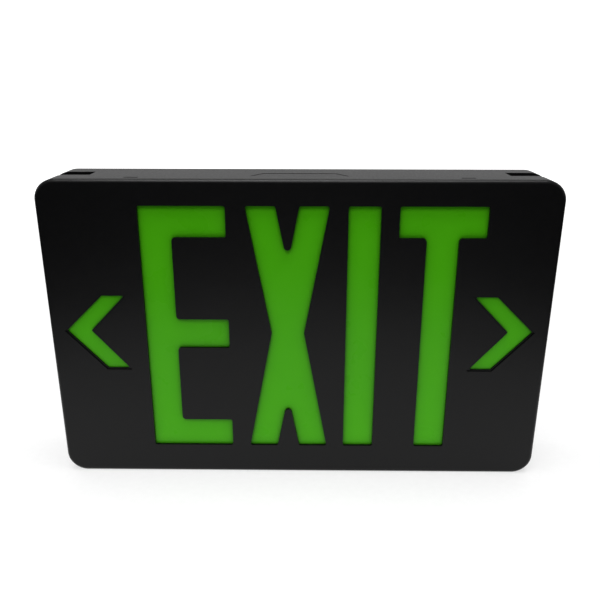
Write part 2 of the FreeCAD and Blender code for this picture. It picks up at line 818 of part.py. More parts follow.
def test_station(body):
    """The finger well, the bore of the button, the lamp's hole and the posts of the test board."""
    depth = at_depth(v.test_depth)
    inner = "width / 2 - wall"
    boss = new_sketch(body, "WellBossPlace", "YZ_Plane", f"{inner} + wall / 2")
    circles(boss, [(depth, v.button_height)], "well_boss_radius")
    pad(body, boss, "WellBoss", "well_depth + well_floor - wall / 2")
    middle = test_board_middle()
    posts = new_sketch(body, "TestPostPlaces", "YZ_Plane", f"{inner} + wall / 2")
    places = [(depth, middle - v.test_post_rise), (depth, middle + v.test_post_rise)]
    circles(posts, places, "post_radius")
    pad(body, posts, "TestPosts", "well_depth + well_floor - wall / 2 + button_flange + spring_length + switch_depth")
    pilots = new_sketch(body, "TestPilotPlaces", "YZ_Plane", "width / 2 - " + TEST_BOARD_FACE)
    circles(pilots, places, "small_screw_radius + thread_gap")
    pocket(body, pilots, "TestPilots", "small_screw_length", rearward=False)
    well = new_sketch(body, "WellOutline", "YZ_Plane", "width / 2")
    circles(well, [(depth, v.button_height)], "well_radius")
    pocket(body, well, "FingerWell", "well_depth")
    bore = new_sketch(body, "ButtonBoreOutline", "YZ_Plane", "width / 2")
    circles(bore, [(depth, v.button_height)], "button_radius + button_gap")
    pocket(body, bore, "ButtonBore", "well_depth + well_floor + 1")
    hole = new_sketch(body, "LampHoleOutline", "YZ_Plane", "width / 2")
    circles(hole, [(depth, v.lamp_height)], "lamp_radius + lamp_gap")
    pocket(body, hole, "LampHole", "wall + 1")


def test_board_middle():
    return (v.button_height + v.lamp_height) / 2


def key_hole(side):
    """One keyhole: a round mouth below a narrow neck, as centre points and radii."""
    x = side * v.key_spacing / 2
    return (x, v.key_height - v.key_drop), (x, v.key_height)


def back_plate():
    """The wall side: wire entry, junction box holes, keyholes, scored knock-outs, and posts inside."""
    body = new_body("back_plate")
    plate = face_sketch(body, "PlateOutline", "depth - back_thickness")
    rounded_rectangle(plate, "wall / 2 + back_gap")
    pad(body, plate, "Plate", "back_thickness")
    posts = face_sketch(body, "BoardPostPlaces", "depth - back_thickness - board_post_length")
    circles(posts, board_screw_places(), "post_radius")
    pad(body, posts, "BoardPosts", "board_post_length")
    pillars = face_sketch(body, "LightPostPlaces", "light_bar_depth + board_thickness")
    circles(pillars, light_screw_places(), "post_radius")
    pad(body, pillars, "LightPosts", "depth - back_thickness - light_bar_depth - board_thickness")
    feet = face_sketch(body, "StrapPostPlaces", "depth - back_thickness - strap_post_length")
    circles(feet, strap_screw_places(), "post_radius")
    pad(body, feet, "StrapPosts", "strap_post_length")
    small = (
        ("BoardPilots", board_screw_places(), "depth - back_thickness - board_post_length", "board_thickness"),
        ("LightPilots", light_screw_places(), "light_bar_depth + board_thickness", "board_thickness"),
        ("StrapPilots", strap_screw_places(), "depth - back_thickness - strap_post_length", "strap_thickness"),
    )
    for name, places, depth, clamped in small:
        pilots = face_sketch(body, name + "Places", depth)
        circles(pilots, places, "small_screw_radius + thread_gap")
        pocket(body, pilots, name, f"small_screw_length - {clamped} + 0.5")
    cradle(body)
    lead_guides(body)
    holes = face_sketch(body, "HolePlaces", "depth - back_thickness")
    circles(holes, [(0, v.height / 2)], "wire_hole_radius", "_wire")
    circles(holes, box_hole_places(), "box_hole_radius", "_box")
    circles(holes, corner_screws(), "large_screw_radius + pass_gap", "_screw")
    pocket(body, holes, "Holes", "depth")
    countersinks(body)
    keyholes(body)
    knock_outs(body)
    return body


def box_hole_places():
    middle = v.height / 2
    half = v.box_spacing / 2
    short = v.short_box_spacing / 2
    return [(-half, middle), (half, middle), (0, middle - short), (0, middle + short)]


def countersinks(body):
    """Cone seats for the back plate screws, each a groove turned about its screw's axis."""
    for index, (x, z) in enumerate(corner_screws()):
        profile = new_sketch(body, f"SinkProfile{index}", "XY_Plane", "0")
        profile.setExpression(".AttachmentOffset.Base.z", str(z))
        rear = at_depth(v.depth)
        shank = v.large_screw_radius + v.pass_gap
        head = v.large_head_radius + v.pass_gap
        bottom = rear - v.large_head_depth
        corners = ((x, bottom, 0), (x + shank, bottom, 0), (x + head, rear, 0), (x, rear, 0))
        outline(profile, corners)
        axis = profile.addGeometry(
            Part.LineSegment(FreeCAD.Vector(x, bottom, 0), FreeCAD.Vector(x, rear, 0)), True
        )
        groove = body.newObject("PartDesign::Groove", f"Countersink{index}")
        groove.Profile = profile
        groove.ReferenceAxis = (profile, ["Edge" + str(axis + 1)])
        groove.Angle = 360
        groove.ReferenceAxis = (profile, ["Axis0"])
        profile.Visibility = False
        doc.recompute()


def keyholes(body):
    neck = v.key_neck_radius
    for side in (-1, 1):
        (x, mouth), (x, top) = key_hole(side)
        slot = face_sketch(body, f"KeyNeck{side + 1}", "depth - back_thickness")
        outline(
            slot,
            (
                (x - neck, mouth, 0),
                (x + neck, mouth, 0),
                (x + neck, top + neck, neck * 0.999),
                (x - neck, top + neck, neck * 0.999),
            ),
        )
        pocket(body, slot, f"KeyNeckCut{side + 1}", "depth")
    mouths = face_sketch(body, "KeyMouths", "depth - back_thickness")
    circles(mouths, [key_hole(-1)[0], key_hole(1)[0]], "key_head_radius")
    pocket(body, mouths, "KeyMouthCut", "depth")


def knock_outs(body):
    """Closed knock-outs: ring grooves in the wall side."""
    rings = face_sketch(body, "KnockOutRings", "depth")
    low = v.height / 2 - v.knockout_place / 2
    places = [(x, low) for x in (-v.knockout_place, v.knockout_place)]
    circles(rings, places, "knockout_radius", "_outer")
    circles(rings, places, "knockout_radius - score_width", "_inner")
    pocket(body, rings, "KnockOuts", "score_depth", rearward=False)


def cradle(body):
    """Low walls on the back plate at the two ends of the battery."""
    for side, name in ((-1, "Left"), (1, "Right")):
        end = v.battery_place + side * (v.cell_length / 2 + v.strap_gap)
        outer = end + side * v.rib_width * 1.5
        half = v.cell_radius * 2
        middle = v.height / 2
        wall_outline = face_sketch(body, name + "CradleOutline", "depth - back_thickness - cell_radius")
        low = middle - half
        high = middle + half
        left = min(end, outer)
        right = max(end, outer)
        outline(wall_outline, ((left, low, 0), (right, low, 0), (right, high, 0), (left, high, 0)))
        pad(body, wall_outline, name + "Cradle", "cell_radius")


# ---------------------------------------------------------------------------------------------------------
# Screws
# ---------------------------------------------------------------------------------------------------------


def board_screw_places():
    half_x = v.board_width / 2 - v.board_screw_inset
    half_z = v.board_height / 2 - v.board_screw_inset
    middle = v.height / 2
    return [(-v.board_place + x, middle + z) for x in (-half_x, half_x) for z in (-half_z, half_z)]


def light_levels():
    return (v.height / 2 - v.light_bar_rise, v.height / 2 + v.light_bar_rise)


def light_screw_places():
    reach = 5 * v.light_pitch
    columns = (-reach, 0, reach)
    return [(x, z) for z in light_levels() for x in columns]


def strap_screw_places():
    reach = strap_reach() + v.strap_foot / 2
    middle = v.height / 2
    return [(v.battery_place, middle - reach), (v.battery_place, middle + reach)]


def strap_reach():
    """Half height of the strap's bridge, outside."""
    return v.cell_radius * v.cell_count + v.strap_gap + v.strap_thickness


def small_screws(label, places, under_head):
    """Pan head screws driven rearwards, with their heads in front of a plane at this depth."""
    screws = []
    for index, (x, z) in enumerate(places):
        shank = rod(f"{label}_shank{index}", str(x), under_head, str(z), "small_screw_radius", "small_screw_length")
        head = rod(
            f"{label}_head{index}",
            str(x),
            f"{under_head} - small_head_depth",
            str(z),
            "small_head_radius",
            "small_head_depth",
        )
        slot = block(
            f"{label}_slot{index}",
            f"{x} - small_head_radius",
            f"{under_head} - small_head_depth",
            f"{z} - small_head_depth / 5",
            "2 * small_head_radius",
            "small_head_depth / 2",
            "small_head_depth / 2.5",
        )
        body = join(f"{label}_body{index}", [shank, head])
        screws.append(cut(f"{label}_{index}", body, slot))
    return keep(group(label, screws), label)


def back_plate_screws():
    """Countersunk screws driven forwards from the wall side."""
    screws = []
    for index, (x, z) in enumerate(corner_screws()):
        shank = rod(
            f"rear_shank{index}",
            str(x),
            "depth - large_screw_length",
            str(z),
            "large_screw_radius",
            "large_screw_length - large_head_depth / 2",
        )
        head = cone(
            f"rear_head{index}",
            str(x),
            "depth - large_head_depth",
            str(z),
            "large_screw_radius",
            "large_head_radius",
            "large_head_depth",
        )
        slot = block(
            f"rear_slot{index}",
            f"{x} - large_head_radius",
            "depth - large_head_depth / 3",
            f"{z} - large_head_depth / 5",
            "2 * large_head_radius",
            "large_head_depth",
            "large_head_depth / 2.5",
        )
        body = join(f"rear_body{index}", [shank, head])
        screws.append(cut(f"rear_screw{index}", body, slot))
    return keep(group("back_plate_screws", screws), "back_plate_screws")


# ---------------------------------------------------------------------------------------------------------
# Circuit board and what it carries
# ---------------------------------------------------------------------------------------------------------

BOARD_BACK = "(depth - back_thickness - board_post_length)"
BOARD_FRONT = "(depth - back_thickness - board_post_length - board_thickness)"


def drilled_board(label, x, z, width, height, depth, places):
    """A flat board that faces the reader, drilled for its screws."""
    body = new_body(label)
    face = face_sketch(body, label.title().replace("_", "") + "Outline", depth)
    half_x = width / 2
    half_z = height / 2
    outline(
        face,
        (
            (x - half_x, z - half_z, 0),
            (x + half_x, z - half_z, 0),
            (x + half_x, z + half_z, 0),
            (x - half_x, z + half_z, 0),
        ),
    )
    circles(face, places, "small_screw_radius + pass_gap")
    pad(body, face, label.title().replace("_", ""), "board_thickness")
    return body


def circuit_board():
    return drilled_board(
        "circuit_board",
        -v.board_place,
        v.height / 2,
        v.board_width,
        v.board_height,
        BOARD_FRONT,
        board_screw_places(),
    )


def transformer():
    """A laminated core with two windows, and the winding round its middle limb."""
    front = f"{BOARD_FRONT} - core_depth - coil_overhang"
    core = block(
        "core_block",
        "-transformer_x - core_width / 2",
        front,
        "transformer_z - core_height / 2",
        "core_width",
        "core_depth",
        "core_height",
    )
    window = "((core_width - 4 * core_limb) / 2)"
    windows = []
    for name, start in (("left", "core_limb"), ("right", f"core_limb + {window} + 2 * core_limb")):
        windows.append(
            block(
                f"core_{name}_window",
                f"-transformer_x - core_width / 2 + {start}",
                f"{front} - 1",
                "transformer_z - core_height / 2 + core_limb",
                window,
                "core_depth + 2",
                "core_height - 2 * core_limb",
            )
        )
    keep(cut("core", core, join("core_windows", windows)), "transformer_core")
    coil = block(
        "coil_block",
        f"-transformer_x - core_limb - {window} + 0.2",
        f"{front} - coil_overhang",
        "transformer_z - core_height / 2 + core_limb + 0.2",
        f"2 * core_limb + 2 * {window} - 0.4",
        "core_depth + 2 * coil_overhang",
        "core_height - 2 * core_limb - 0.4",
    )
    limb = block(
        "coil_bore",
        "-transformer_x - core_limb",
        front,
        "transformer_z - core_height / 2",
        "2 * core_limb",
        "core_depth",
        "core_height",
    )
    keep(cut("coil", coil, limb), "transformer_coil")


def capacitors():
    """Three cans in a row along the foot of the board, the last one small."""
    items = []
    for index in range(3):
        x = f"-board_place - board_width / 2 + 16 + {index} * capacitor_pitch"
        radius = "capacitor_radius" if index < 2 else "capacitor_radius * 0.64"
        height = "capacitor_height" if index < 2 else "capacitor_height * 0.88"
        can = rod(
            f"capacitor{index}",
            x,
            f"{BOARD_FRONT} - {height}",
            "height / 2 - board_height / 2 + 8.5",
            radius,
            height,
        )
        items.append(can)
    return keep(group("capacitors", items), "capacitors")


def resistors():
    items = []
    for index in range(4):
        items.append(
            rod(
                f"resistor{index}",
                "-board_place + board_width / 2 - 25",
                f"{BOARD_FRONT} - resistor_radius",
                f"height / 2 + board_height / 2 - 11 - {index} * resistor_pitch",
                "resistor_radius",
                "resistor_length",
                "X",
            )
        )
    return keep(group("resistors", items), "resistors")


def regulator():
    package = block(
        "regulator_case",
        "-board_place + 11",
        f"{BOARD_FRONT} - regulator_height",
        "height / 2 - 14",
        "regulator_width",
        "regulator_height",
        "regulator_thickness",
    )
    tab = block(
        "regulator_tab",
        "-board_place + 11",
        f"{BOARD_FRONT} - regulator_height * 1.6",
        "height / 2 - 14 + regulator_thickness - 1.2",
        "regulator_width",
        "regulator_height * 1.6",
        "1.2",
    )
    return keep(join("regulator", [package, tab]), "charge_regulator")


def supply_terminal():
    """A two-pole screw terminal at the board's upper left for the supply wires."""
    x = "-board_place - board_width / 2 + 9"
    z = "height / 2 + board_height / 2 - terminal_width + 2"
    housing = block(
        "terminal_block",
        x,
        f"{BOARD_FRONT} - terminal_height",
        z,
        "2 * terminal_pole",
        "terminal_height",
        "terminal_width - 3",
    )
    holes = []
    for index in range(2):
        holes.append(
            rod(
                f"terminal_well{index}",
                f"{x} + (0.5 + {index}) * terminal_pole",
                f"{BOARD_FRONT} - terminal_height - 1",
                f"{z} + (terminal_width - 3) / 2",
                "terminal_pole * 0.36",
                "terminal_height / 2",
            )
        )
    return keep(cut("terminal", housing, join("terminal_wells", holes)), "supply_terminal")


SOCKET_X = "(-board_place + board_width / 2 - socket_length - 1)"


def battery_connection():
    """The socket at the board's right side and the plug that sits in it."""
    z = "height / 2 - socket_width / 2"
    outer = block(
        "socket_outer", SOCKET_X, f"{BOARD_FRONT} - socket_height", z, "socket_length", "socket_height", "socket_width"
    )
    inner = block(
        "socket_inner",
        f"{SOCKET_X} + socket_wall",
        f"{BOARD_FRONT} - socket_height + socket_wall",
        f"{z} + socket_wall",
        "socket_length",
        "socket_height - 2 * socket_wall",
        "socket_width - 2 * socket_wall",
    )
    keep(cut("socket", outer, inner), "battery_socket")
    plug = block(
        "plug",
        f"{SOCKET_X} + socket_wall",
        f"{BOARD_FRONT} - socket_height + socket_wall + 0.1",
        f"{z} + socket_wall + 0.1",
        "plug_length",
        "socket_height - 2 * socket_wall - 0.2",
        "socket_width - 2 * socket_wall - 0.2",
    )
    keep(plug, "battery_plug")


# ---------------------------------------------------------------------------------------------------------
# Battery
# ---------------------------------------------------------------------------------------------------------


def battery_axis_depth():
    return "(depth - back_thickness - battery_lift - cell_radius)"


def battery_pack():
    """Cells side by side in one sleeve: the section is a row of arcs joined across the hollows."""
    body = new_body("battery_pack")
    section = new_sketch(body, "CellSection", "YZ_Plane", "battery_place - cell_length / 2")
    radius = v.cell_radius
    count = int(v.cell_count)
    middle = at_depth(v.depth - v.back_thickness - v.battery_lift - radius)
    lean = math.radians(60)
    vec = FreeCAD.Vector
    first = v.height / 2 - (count - 1) * radius

    def rim(cell, angle):
        centre = first + 2 * radius * cell
        return vec(middle + radius * math.sin(angle), centre - radius * math.cos(angle), 0)

    previous = None
    start = None
    for side in (1, -1):
        order = range(count) if side > 0 else range(count - 1, -1, -1)
        for cell in order:
            top = cell == count - 1
            low = cell == 0
            begin = 0 if low else lean
            end = math.pi if top else math.pi - lean
            if side < 0:
                begin, end = end, begin
            points = [rim(cell, side * angle) for angle in (begin, (begin + end) / 2, end)]
            if previous is not None and (points[0] - previous).Length > 1e-6:
                section.addGeometry(Part.LineSegment(previous, points[0]), False)
            section.addGeometry(Part.Arc(*points), False)
            start = start or points[0]
            previous = points[2]
    pad(body, section, "Cells", "cell_length", rearward=False)
    return body


def battery_strap():
    """A sheet metal strap bridging the cells, with a drilled foot at each end."""
    body = new_body("battery_strap")
    profile = new_sketch(body, "StrapProfile", "YZ_Plane", "battery_place")
    seat = at_depth(v.depth - v.back_thickness - v.strap_post_length)
    crown = at_depth(v.depth - v.back_thickness - v.battery_lift - 2 * v.cell_radius - v.strap_gap)
    thick = v.strap_thickness
    middle = v.height / 2
    outside = strap_reach()
    inside = outside - thick
    tip = outside + v.strap_foot
    bend = thick * 1.6
    corners = (
        (seat, middle - tip, 0),
        (seat, middle - inside, bend - thick),
        (crown, middle - inside, bend - thick),
        (crown, middle + inside, bend - thick),
        (seat, middle + inside, bend - thick),
        (seat, middle + tip, 0),
        (seat - thick, middle + tip, 0),
        (seat - thick, middle + outside, bend - thick),
        (crown - thick, middle + outside, bend),
        (crown - thick, middle - outside, bend),
        (seat - thick, middle - outside, bend - thick),
        (seat - thick, middle - tip, 0),
    )
    outline(profile, corners)
    pad(body, profile, "Strap", "strap_width", both_ways=True)
    holes = face_sketch(body, "StrapHoles", "0")
    circles(holes, strap_screw_places(), "small_screw_radius + pass_gap")
    pocket(body, holes, "StrapHoleCut", "depth")
    return body


# ---------------------------------------------------------------------------------------------------------
# Light bars
# ---------------------------------------------------------------------------------------------------------


def light_bars():
    for name, level in zip(("lower", "upper"), light_levels()):
        places = [spot for spot in light_screw_places() if abs(spot[1] - level) < 1e-6]
        drilled_board(
            f"{name}_light_bar", 0, level, v.light_bar_length, v.light_bar_width, "light_bar_depth", places
        )
        count = int(v.light_count)
        lights = []
        for index in range(count):
            lights.append(
                block(
                    f"{name}_light{index}",
                    f"({index} - ({count} - 1) / 2) * light_pitch - light_width / 2",
                    "light_bar_depth - light_thickness",
                    f"{level} - light_height / 2",
                    "light_width",
                    "light_thickness",
                    "light_height",
                )
            )
        keep(group(f"{name}_lights", lights), f"{name}_lights")


# ---------------------------------------------------------------------------------------------------------
# Test button, switch and pilot lamp
# ---------------------------------------------------------------------------------------------------------

WELL_INSIDE = "(well_depth + well_floor)"
SWITCH_FACE = "(well_depth + well_floor + button_flange + spring_length)"
TEST_BOARD_FACE = "(well_depth + well_floor + button_flange + spring_length + switch_depth)"


def turned(body, name, x, height, profile):
    """A revolution about a level axis through the right end wall; profile is (x, radius) points."""
    sketch = new_sketch(body, name + "Profile", "XY_Plane", height)
    axis_y = at_depth(v.test_depth)
    corners = tuple((x + step, axis_y + radius, bend) for step, radius, bend in profile)
    outline(sketch, corners)
    low = min(corner[0] for corner in corners)
    high = max(corner[0] for corner in corners)
    ends = (FreeCAD.Vector(low, axis_y, 0), FreeCAD.Vector(high, axis_y, 0))
    sketch.addGeometry(Part.LineSegment(*ends), True)
    feature = body.newObject("PartDesign::Revolution", name)
    feature.Profile = sketch
    feature.ReferenceAxis = (sketch, ["Axis0"])
    feature.Angle = 360
    sketch.Visibility = False
    doc.recompute()
    return feature


def test_button():
    """Head, retaining flange and stem in one turned form."""
    body = new_body("test_button")
    face = v.width / 2 - v.button_sink
    shoulder = v.width / 2 - v.well_depth - v.well_floor
    back = shoulder - v.button_flange
    end = back - v.stem_length
    profile = (
        (end, 0, 0),
        (face, 0, 0),
        (face, v.button_radius, 0.5),
        (shoulder, v.button_radius, 0),
        (shoulder, v.button_flange_radius, 0),
        (back, v.button_flange_radius, 0),
        (back, v.stem_radius, 0),
        (end, v.stem_radius, 0),
    )
    turned(body, "Button", 0, "button_height", profile)
    return body


def button_spring():
    """A short compression spring round the stem."""
    turns = v.spring_turns
    wire = v.spring_wire
    span = v.spring_length - 2 * wire
    helix = Part.makeHelix(span / turns, span, v.spring_radius)
    section = Part.Wire(
        Part.makeCircle(wire, FreeCAD.Vector(v.spring_radius, 0, 0), FreeCAD.Vector(0, 1, 0))
    )
    coil = Part.Wire(helix.Edges).makePipeShell([section], True, True)
    x = v.width / 2 - v.well_depth - v.well_floor - v.button_flange - wire
    spring = doc.addObject("Part::Feature", "spring")
    spring.Shape = coil
    spring.Placement = FreeCAD.Placement(
        FreeCAD.Vector(x, at_depth(v.test_depth), v.button_height),
        FreeCAD.Rotation(FreeCAD.Vector(0, 1, 0), -90),
    )
    return keep(spring, "button_spring")


def test_switch():
    case = block(
        "switch_case",
        f"width / 2 - {TEST_BOARD_FACE}",
        "test_depth - switch_size / 2",
        "button_height - switch_size / 2",
        "switch_depth",
        "switch_size",
        "switch_size",
    )
    bore = rod(
        "switch_bore",
        f"width / 2 - {SWITCH_FACE} - switch_depth + 1",
        "test_depth",
        "button_height",
        "stem_radius + stem_gap",
        "switch_depth",
        "X",
    )
    return keep(cut("switch", case, bore), "test_switch")


def pilot_lamp():
    """A round lamp with a domed tip, a rim, and two pins to its board."""
    body = new_body("pilot_lamp")
    tip = v.width / 2 - v.lamp_sink
    base = tip - v.lamp_length
    radius = v.lamp_radius
    rim = radius + v.lamp_rim
    profile = (
        (base, 0, 0),
        (tip, 0, 0),
        (tip, radius, radius * 0.99),
        (base + v.lamp_rim_depth, radius, 0),
        (base + v.lamp_rim_depth, rim, 0),
        (base, rim, 0),
    )
    turned(body, "Lamp", 0, "lamp_height", profile)
    pins = new_sketch(body, "PinPlaces", "YZ_Plane", f"width / 2 - {TEST_BOARD_FACE}")
    middle = at_depth(v.test_depth)
    half = v.lamp_pin_pitch / 2
    circles(pins, [(middle - half, v.lamp_height), (middle + half, v.lamp_height)], "lamp_pin")
    pad(body, pins, "Pins", f"{TEST_BOARD_FACE} - lamp_sink - lamp_length + 0.5", rearward=False)
    return body


def test_board():
    body = new_body("test_board")
    middle = test_board_middle()
    face = new_sketch(body, "TestBoardOutline", "YZ_Plane", f"width / 2 - {TEST_BOARD_FACE}")
    depth = at_depth(v.test_depth)
    half_y = v.test_board_width / 2
    half_z = v.test_board_height / 2
    outline(
        face,
        (
            (depth - half_y, middle - half_z, 0),
            (depth + half_y, middle - half_z, 0),
            (depth + half_y, middle + half_z, 0),
            (depth - half_y, middle + half_z, 0),
        ),
    )
    holes = [(depth, middle - v.test_post_rise), (depth, middle + v.test_post_rise)]
    circles(face, holes, "small_screw_radius + pass_gap")
    pad(body, face, "TestBoard", "board_thickness")
    return body


def test_board_screws():
    """Pan head screws driven towards the end wall."""
    screws = []
    under_head = f"width / 2 - {TEST_BOARD_FACE} - board_thickness"
    for index, side in enumerate((-1, 1)):
        z = f"(button_height + lamp_height) / 2 + {side} * test_post_rise"
        shank = rod(
            f"test_shank{index}", under_head, "test_depth", z, "small_screw_radius", "small_screw_length", "X"
        )
        head = rod(
            f"test_head{index}",
            f"{under_head} - small_head_depth",
            "test_depth",
            z,
            "small_head_radius",
            "small_head_depth",
            "X",
        )
        screws.append(join(f"test_screw{index}", [shank, head]))
    return keep(group("test_board_screws", screws), "test_board_screws")


# ---------------------------------------------------------------------------------------------------------
# Leads
# ---------------------------------------------------------------------------------------------------------


def lead(name, route):
    """One insulated wire along straight runs joined by tangent arcs; route points are (x, depth, z)."""
    points = [FreeCAD.Vector(x, at_depth(depth), z) for x, depth, z in route]
    edges = []
    here = points[0]
    for index in range(1, len(points) - 1):
        corner = points[index]
        before = points[index - 1] - corner
        after = points[index + 1] - corner
        reach = 0.45 * min(before.Length, after.Length)
        before.normalize()
        after.normalize()
        half = before.getAngle(after) / 2
        radius = reach * math.tan(half)
        start = corner + before * reach
        end = corner + after * reach
        bisector = (before + after).normalize()
        middle = corner + bisector * (radius / math.sin(half) - radius)
        edges.append(Part.LineSegment(here, start).toShape())
        edges.append(Part.Arc(start, middle, end).toShape())
        here = end
    edges.append(Part.LineSegment(here, points[-1]).toShape())
    path = Part.Wire(edges)
    direction = points[1] - points[0]
    section = Part.Wire(Part.makeCircle(v.lead_radius, points[0], direction))
    wire = doc.addObject("Part::Feature", name)
    wire.Shape = path.makePipeShell([section], True, False)
    return wire


def pair(label, route):
    """Two wires side by side. Each route point is x, depth, z and the half step to either wire there."""
    wires = []
    for side in (-1, 1):
        points = []
        for x, depth, z, step_x, step_depth, step_z in route:
            points.append((x + side * step_x, depth + side * step_depth, z + side * step_z))
        wires.append(lead(f"{label}{side + 1}", points))
    return keep(group(label, wires), label)


def battery_lead_track():
    """Height and depth of the straight run behind the battery leads' guides."""
    return v.height / 2 - 24, v.depth - v.back_thickness - v.lead_radius - v.lead_pitch / 2 - 0.6


def switch_lead_track():
    return v.height / 2 - 63, v.depth - v.back_thickness - v.lead_radius - 2.0


def lead_guides(body):
    """Pairs of low walls on the back plate that hold the leads on their way."""
    thick = v.rib_width
    length = 6.0
    low_track = battery_lead_track()[0]
    foot_track = switch_lead_track()[0]
    flat_gap = v.lead_radius + 0.4
    wide_gap = v.lead_radius + v.lead_pitch / 2 + 0.4
    spots = [(x, low_track, flat_gap) for x in (-8, 8)]
    spots += [(x, foot_track, wide_gap) for x in (-50, 20, 90)]
    walls = face_sketch(body, "GuidePlaces", "depth - back_thickness - board_post_length")
    for x, z, gap in spots:
        for start in (z - gap - thick, z + gap):
            corners = (
                (x - length / 2, start, 0),
                (x + length / 2, start, 0),
                (x + length / 2, start + thick, 0),
                (x - length / 2, start + thick, 0),
            )
            outline(walls, corners)
    pad(body, walls, "LeadGuides", "board_post_length")


def leads():
    board = v.depth - v.back_thickness - v.board_post_length - v.board_thickness
    middle = v.height / 2
    right = -v.board_place + v.board_width / 2
    step = v.lead_pitch / 2
    plug_end = right - v.socket_length - 1 + v.socket_wall + v.plug_length
    plug_depth = board - v.socket_height / 2
    battery_end = v.battery_place - v.cell_length / 2
    over = v.depth - v.back_thickness - v.cell_radius - 1.8
    low_track, near = battery_lead_track()
    pair(
        "battery_leads",
        (
            (plug_end, plug_depth, middle, 0, step, 0),
            (plug_end + 14, plug_depth, middle, 0, step, 0),
            (plug_end + 28, near, low_track, 0, step, 0),
            (battery_end - 40, near, low_track, 0, step, 0),
            (battery_end - 18, over - step, middle, 0, step, 0),
            (battery_end, over - step, middle, 0, step, 0),
        ),
    )
    lower, upper = light_levels()
    column = right - 12
    bar_back = v.light_bar_depth + v.board_thickness
    wires = []
    for name, level, way in (("lower", lower, -1), ("upper", upper, 1)):
        edge = middle + way * (v.board_height / 2 - 6)
        for side in (-1, 1):
            x = column + side * step
            route = ((x, board, edge), (x, board - 6, edge), (x, board - 6, level), (x, bar_back, level))
            wires.append(lead(f"{name}_light_lead{side + 1}", route))
    keep(group("light_leads", wires), "light_leads")
    switch_face = v.well_depth + v.well_floor + v.button_flange + v.spring_length
    board_side = v.width / 2 - switch_face - v.switch_depth - v.board_thickness
    start = -v.board_place + 9
    edge = middle - v.board_height / 2 + 3
    track, rear = switch_lead_track()
    pair(
        "switch_leads",
        (
            (start, board, edge, step, 0, step),
            (start, board - 5, edge, step, 0, step),
            (start, rear, track, step, 0, step),
            (board_side - 22, rear, track, 0, 0, step),
            (board_side - 9, v.test_depth + 6, track, 0, 0, step),
            (board_side, v.test_depth + 6, track, 0, 0, step),
        ),
    )


# ---------------------------------------------------------------------------------------------------------
# The whole sign
# ---------------------------------------------------------------------------------------------------------


def build():
    face_plate()
    colour_panel()
    housing_frame()
    back_plate()
    back_plate_screws()
    circuit_board()
    small_screws("board_screws", board_screw_places(), BOARD_FRONT)
    transformer()
    capacitors()
    resistors()
    regulator()
    supply_terminal()
    battery_connection()
    battery_pack()
    battery_strap()
    small_screws(
        "strap_screws", strap_screw_places(), "(depth - back_thickness - strap_post_length - strap_thickness)"
    )
    light_bars()
    small_screws("light_bar_screws", light_screw_places(), "light_bar_depth")
    test_button()
    button_spring()
    test_switch()
    pilot_lamp()
    test_board()
    test_board_screws()
    leads()
    doc.recompute()


def check():
    for item in doc.Objects:
        if "Invalid" in item.State or "Error" in item.State:
            raise RuntimeError(f"{item.Name} failed to build")
    for item in NODES:
        if item.Shape.isNull() or not item.Shape.isValid():
            raise RuntimeError(f"{item.Label} has no valid shape")


def write():
    os.makedirs("parts", exist_ok=True)
    for item in NODES:
        item.Shape.exportStep(os.path.join("parts", item.Label + ".step"))


build()
check()
write()
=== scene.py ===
import math

import bmesh
import bpy
from bpy.props import FloatProperty, FloatVectorProperty, IntProperty, PointerProperty
from mathutils import Matrix, Vector


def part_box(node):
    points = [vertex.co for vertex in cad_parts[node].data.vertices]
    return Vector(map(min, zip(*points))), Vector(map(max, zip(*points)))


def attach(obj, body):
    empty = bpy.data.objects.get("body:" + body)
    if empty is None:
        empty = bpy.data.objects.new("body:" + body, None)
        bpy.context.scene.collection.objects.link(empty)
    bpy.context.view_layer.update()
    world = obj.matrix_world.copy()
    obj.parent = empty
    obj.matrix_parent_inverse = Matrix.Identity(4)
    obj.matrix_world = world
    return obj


bl_info = {
    "name": "Emergency Exit Light",
    "version": (1, 0, 0),
    "blender": (4, 5, 0),
    "location": "View3D > Sidebar > Exit Light",
    "description": "Dresses the emergency exit light and sets it on its stage",
    "category": "Object",
}

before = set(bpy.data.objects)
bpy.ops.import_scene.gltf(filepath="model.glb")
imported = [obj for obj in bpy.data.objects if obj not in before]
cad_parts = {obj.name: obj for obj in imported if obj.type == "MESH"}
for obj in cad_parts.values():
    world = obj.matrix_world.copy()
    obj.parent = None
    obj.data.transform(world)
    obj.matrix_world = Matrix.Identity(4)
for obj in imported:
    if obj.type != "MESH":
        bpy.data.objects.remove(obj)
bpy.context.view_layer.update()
MM = 0.001


# ---------------------------------------------------------------------------------------------------------
# Colours, materials and mesh helpers
# ---------------------------------------------------------------------------------------------------------


def linear(hex_colour):
    """An sRGB hex value as a linear colour with full alpha."""
    channels = []
    for start in (1, 3, 5):
        value = int(hex_colour[start : start + 2], 16) / 255
        channels.append(value / 12.92 if value <= 0.04045 else ((value + 0.055) / 1.055) ** 2.4)
    return (*channels, 1.0)


def add(tree, kind, links=None, **settings):
    """Adds one node. Settings are its inputs by name, or its own attributes; links are input to output."""
    node = tree.nodes.new(kind)
    for name, value in settings.items():
        label = name.replace("_", " ").title()
        if hasattr(node, name):
            setattr(node, name, value)
        else:
            node.inputs[label].default_value = value
    for key, output in (links or {}).items():
        tree.links.new(output, node.inputs[key])
    return node


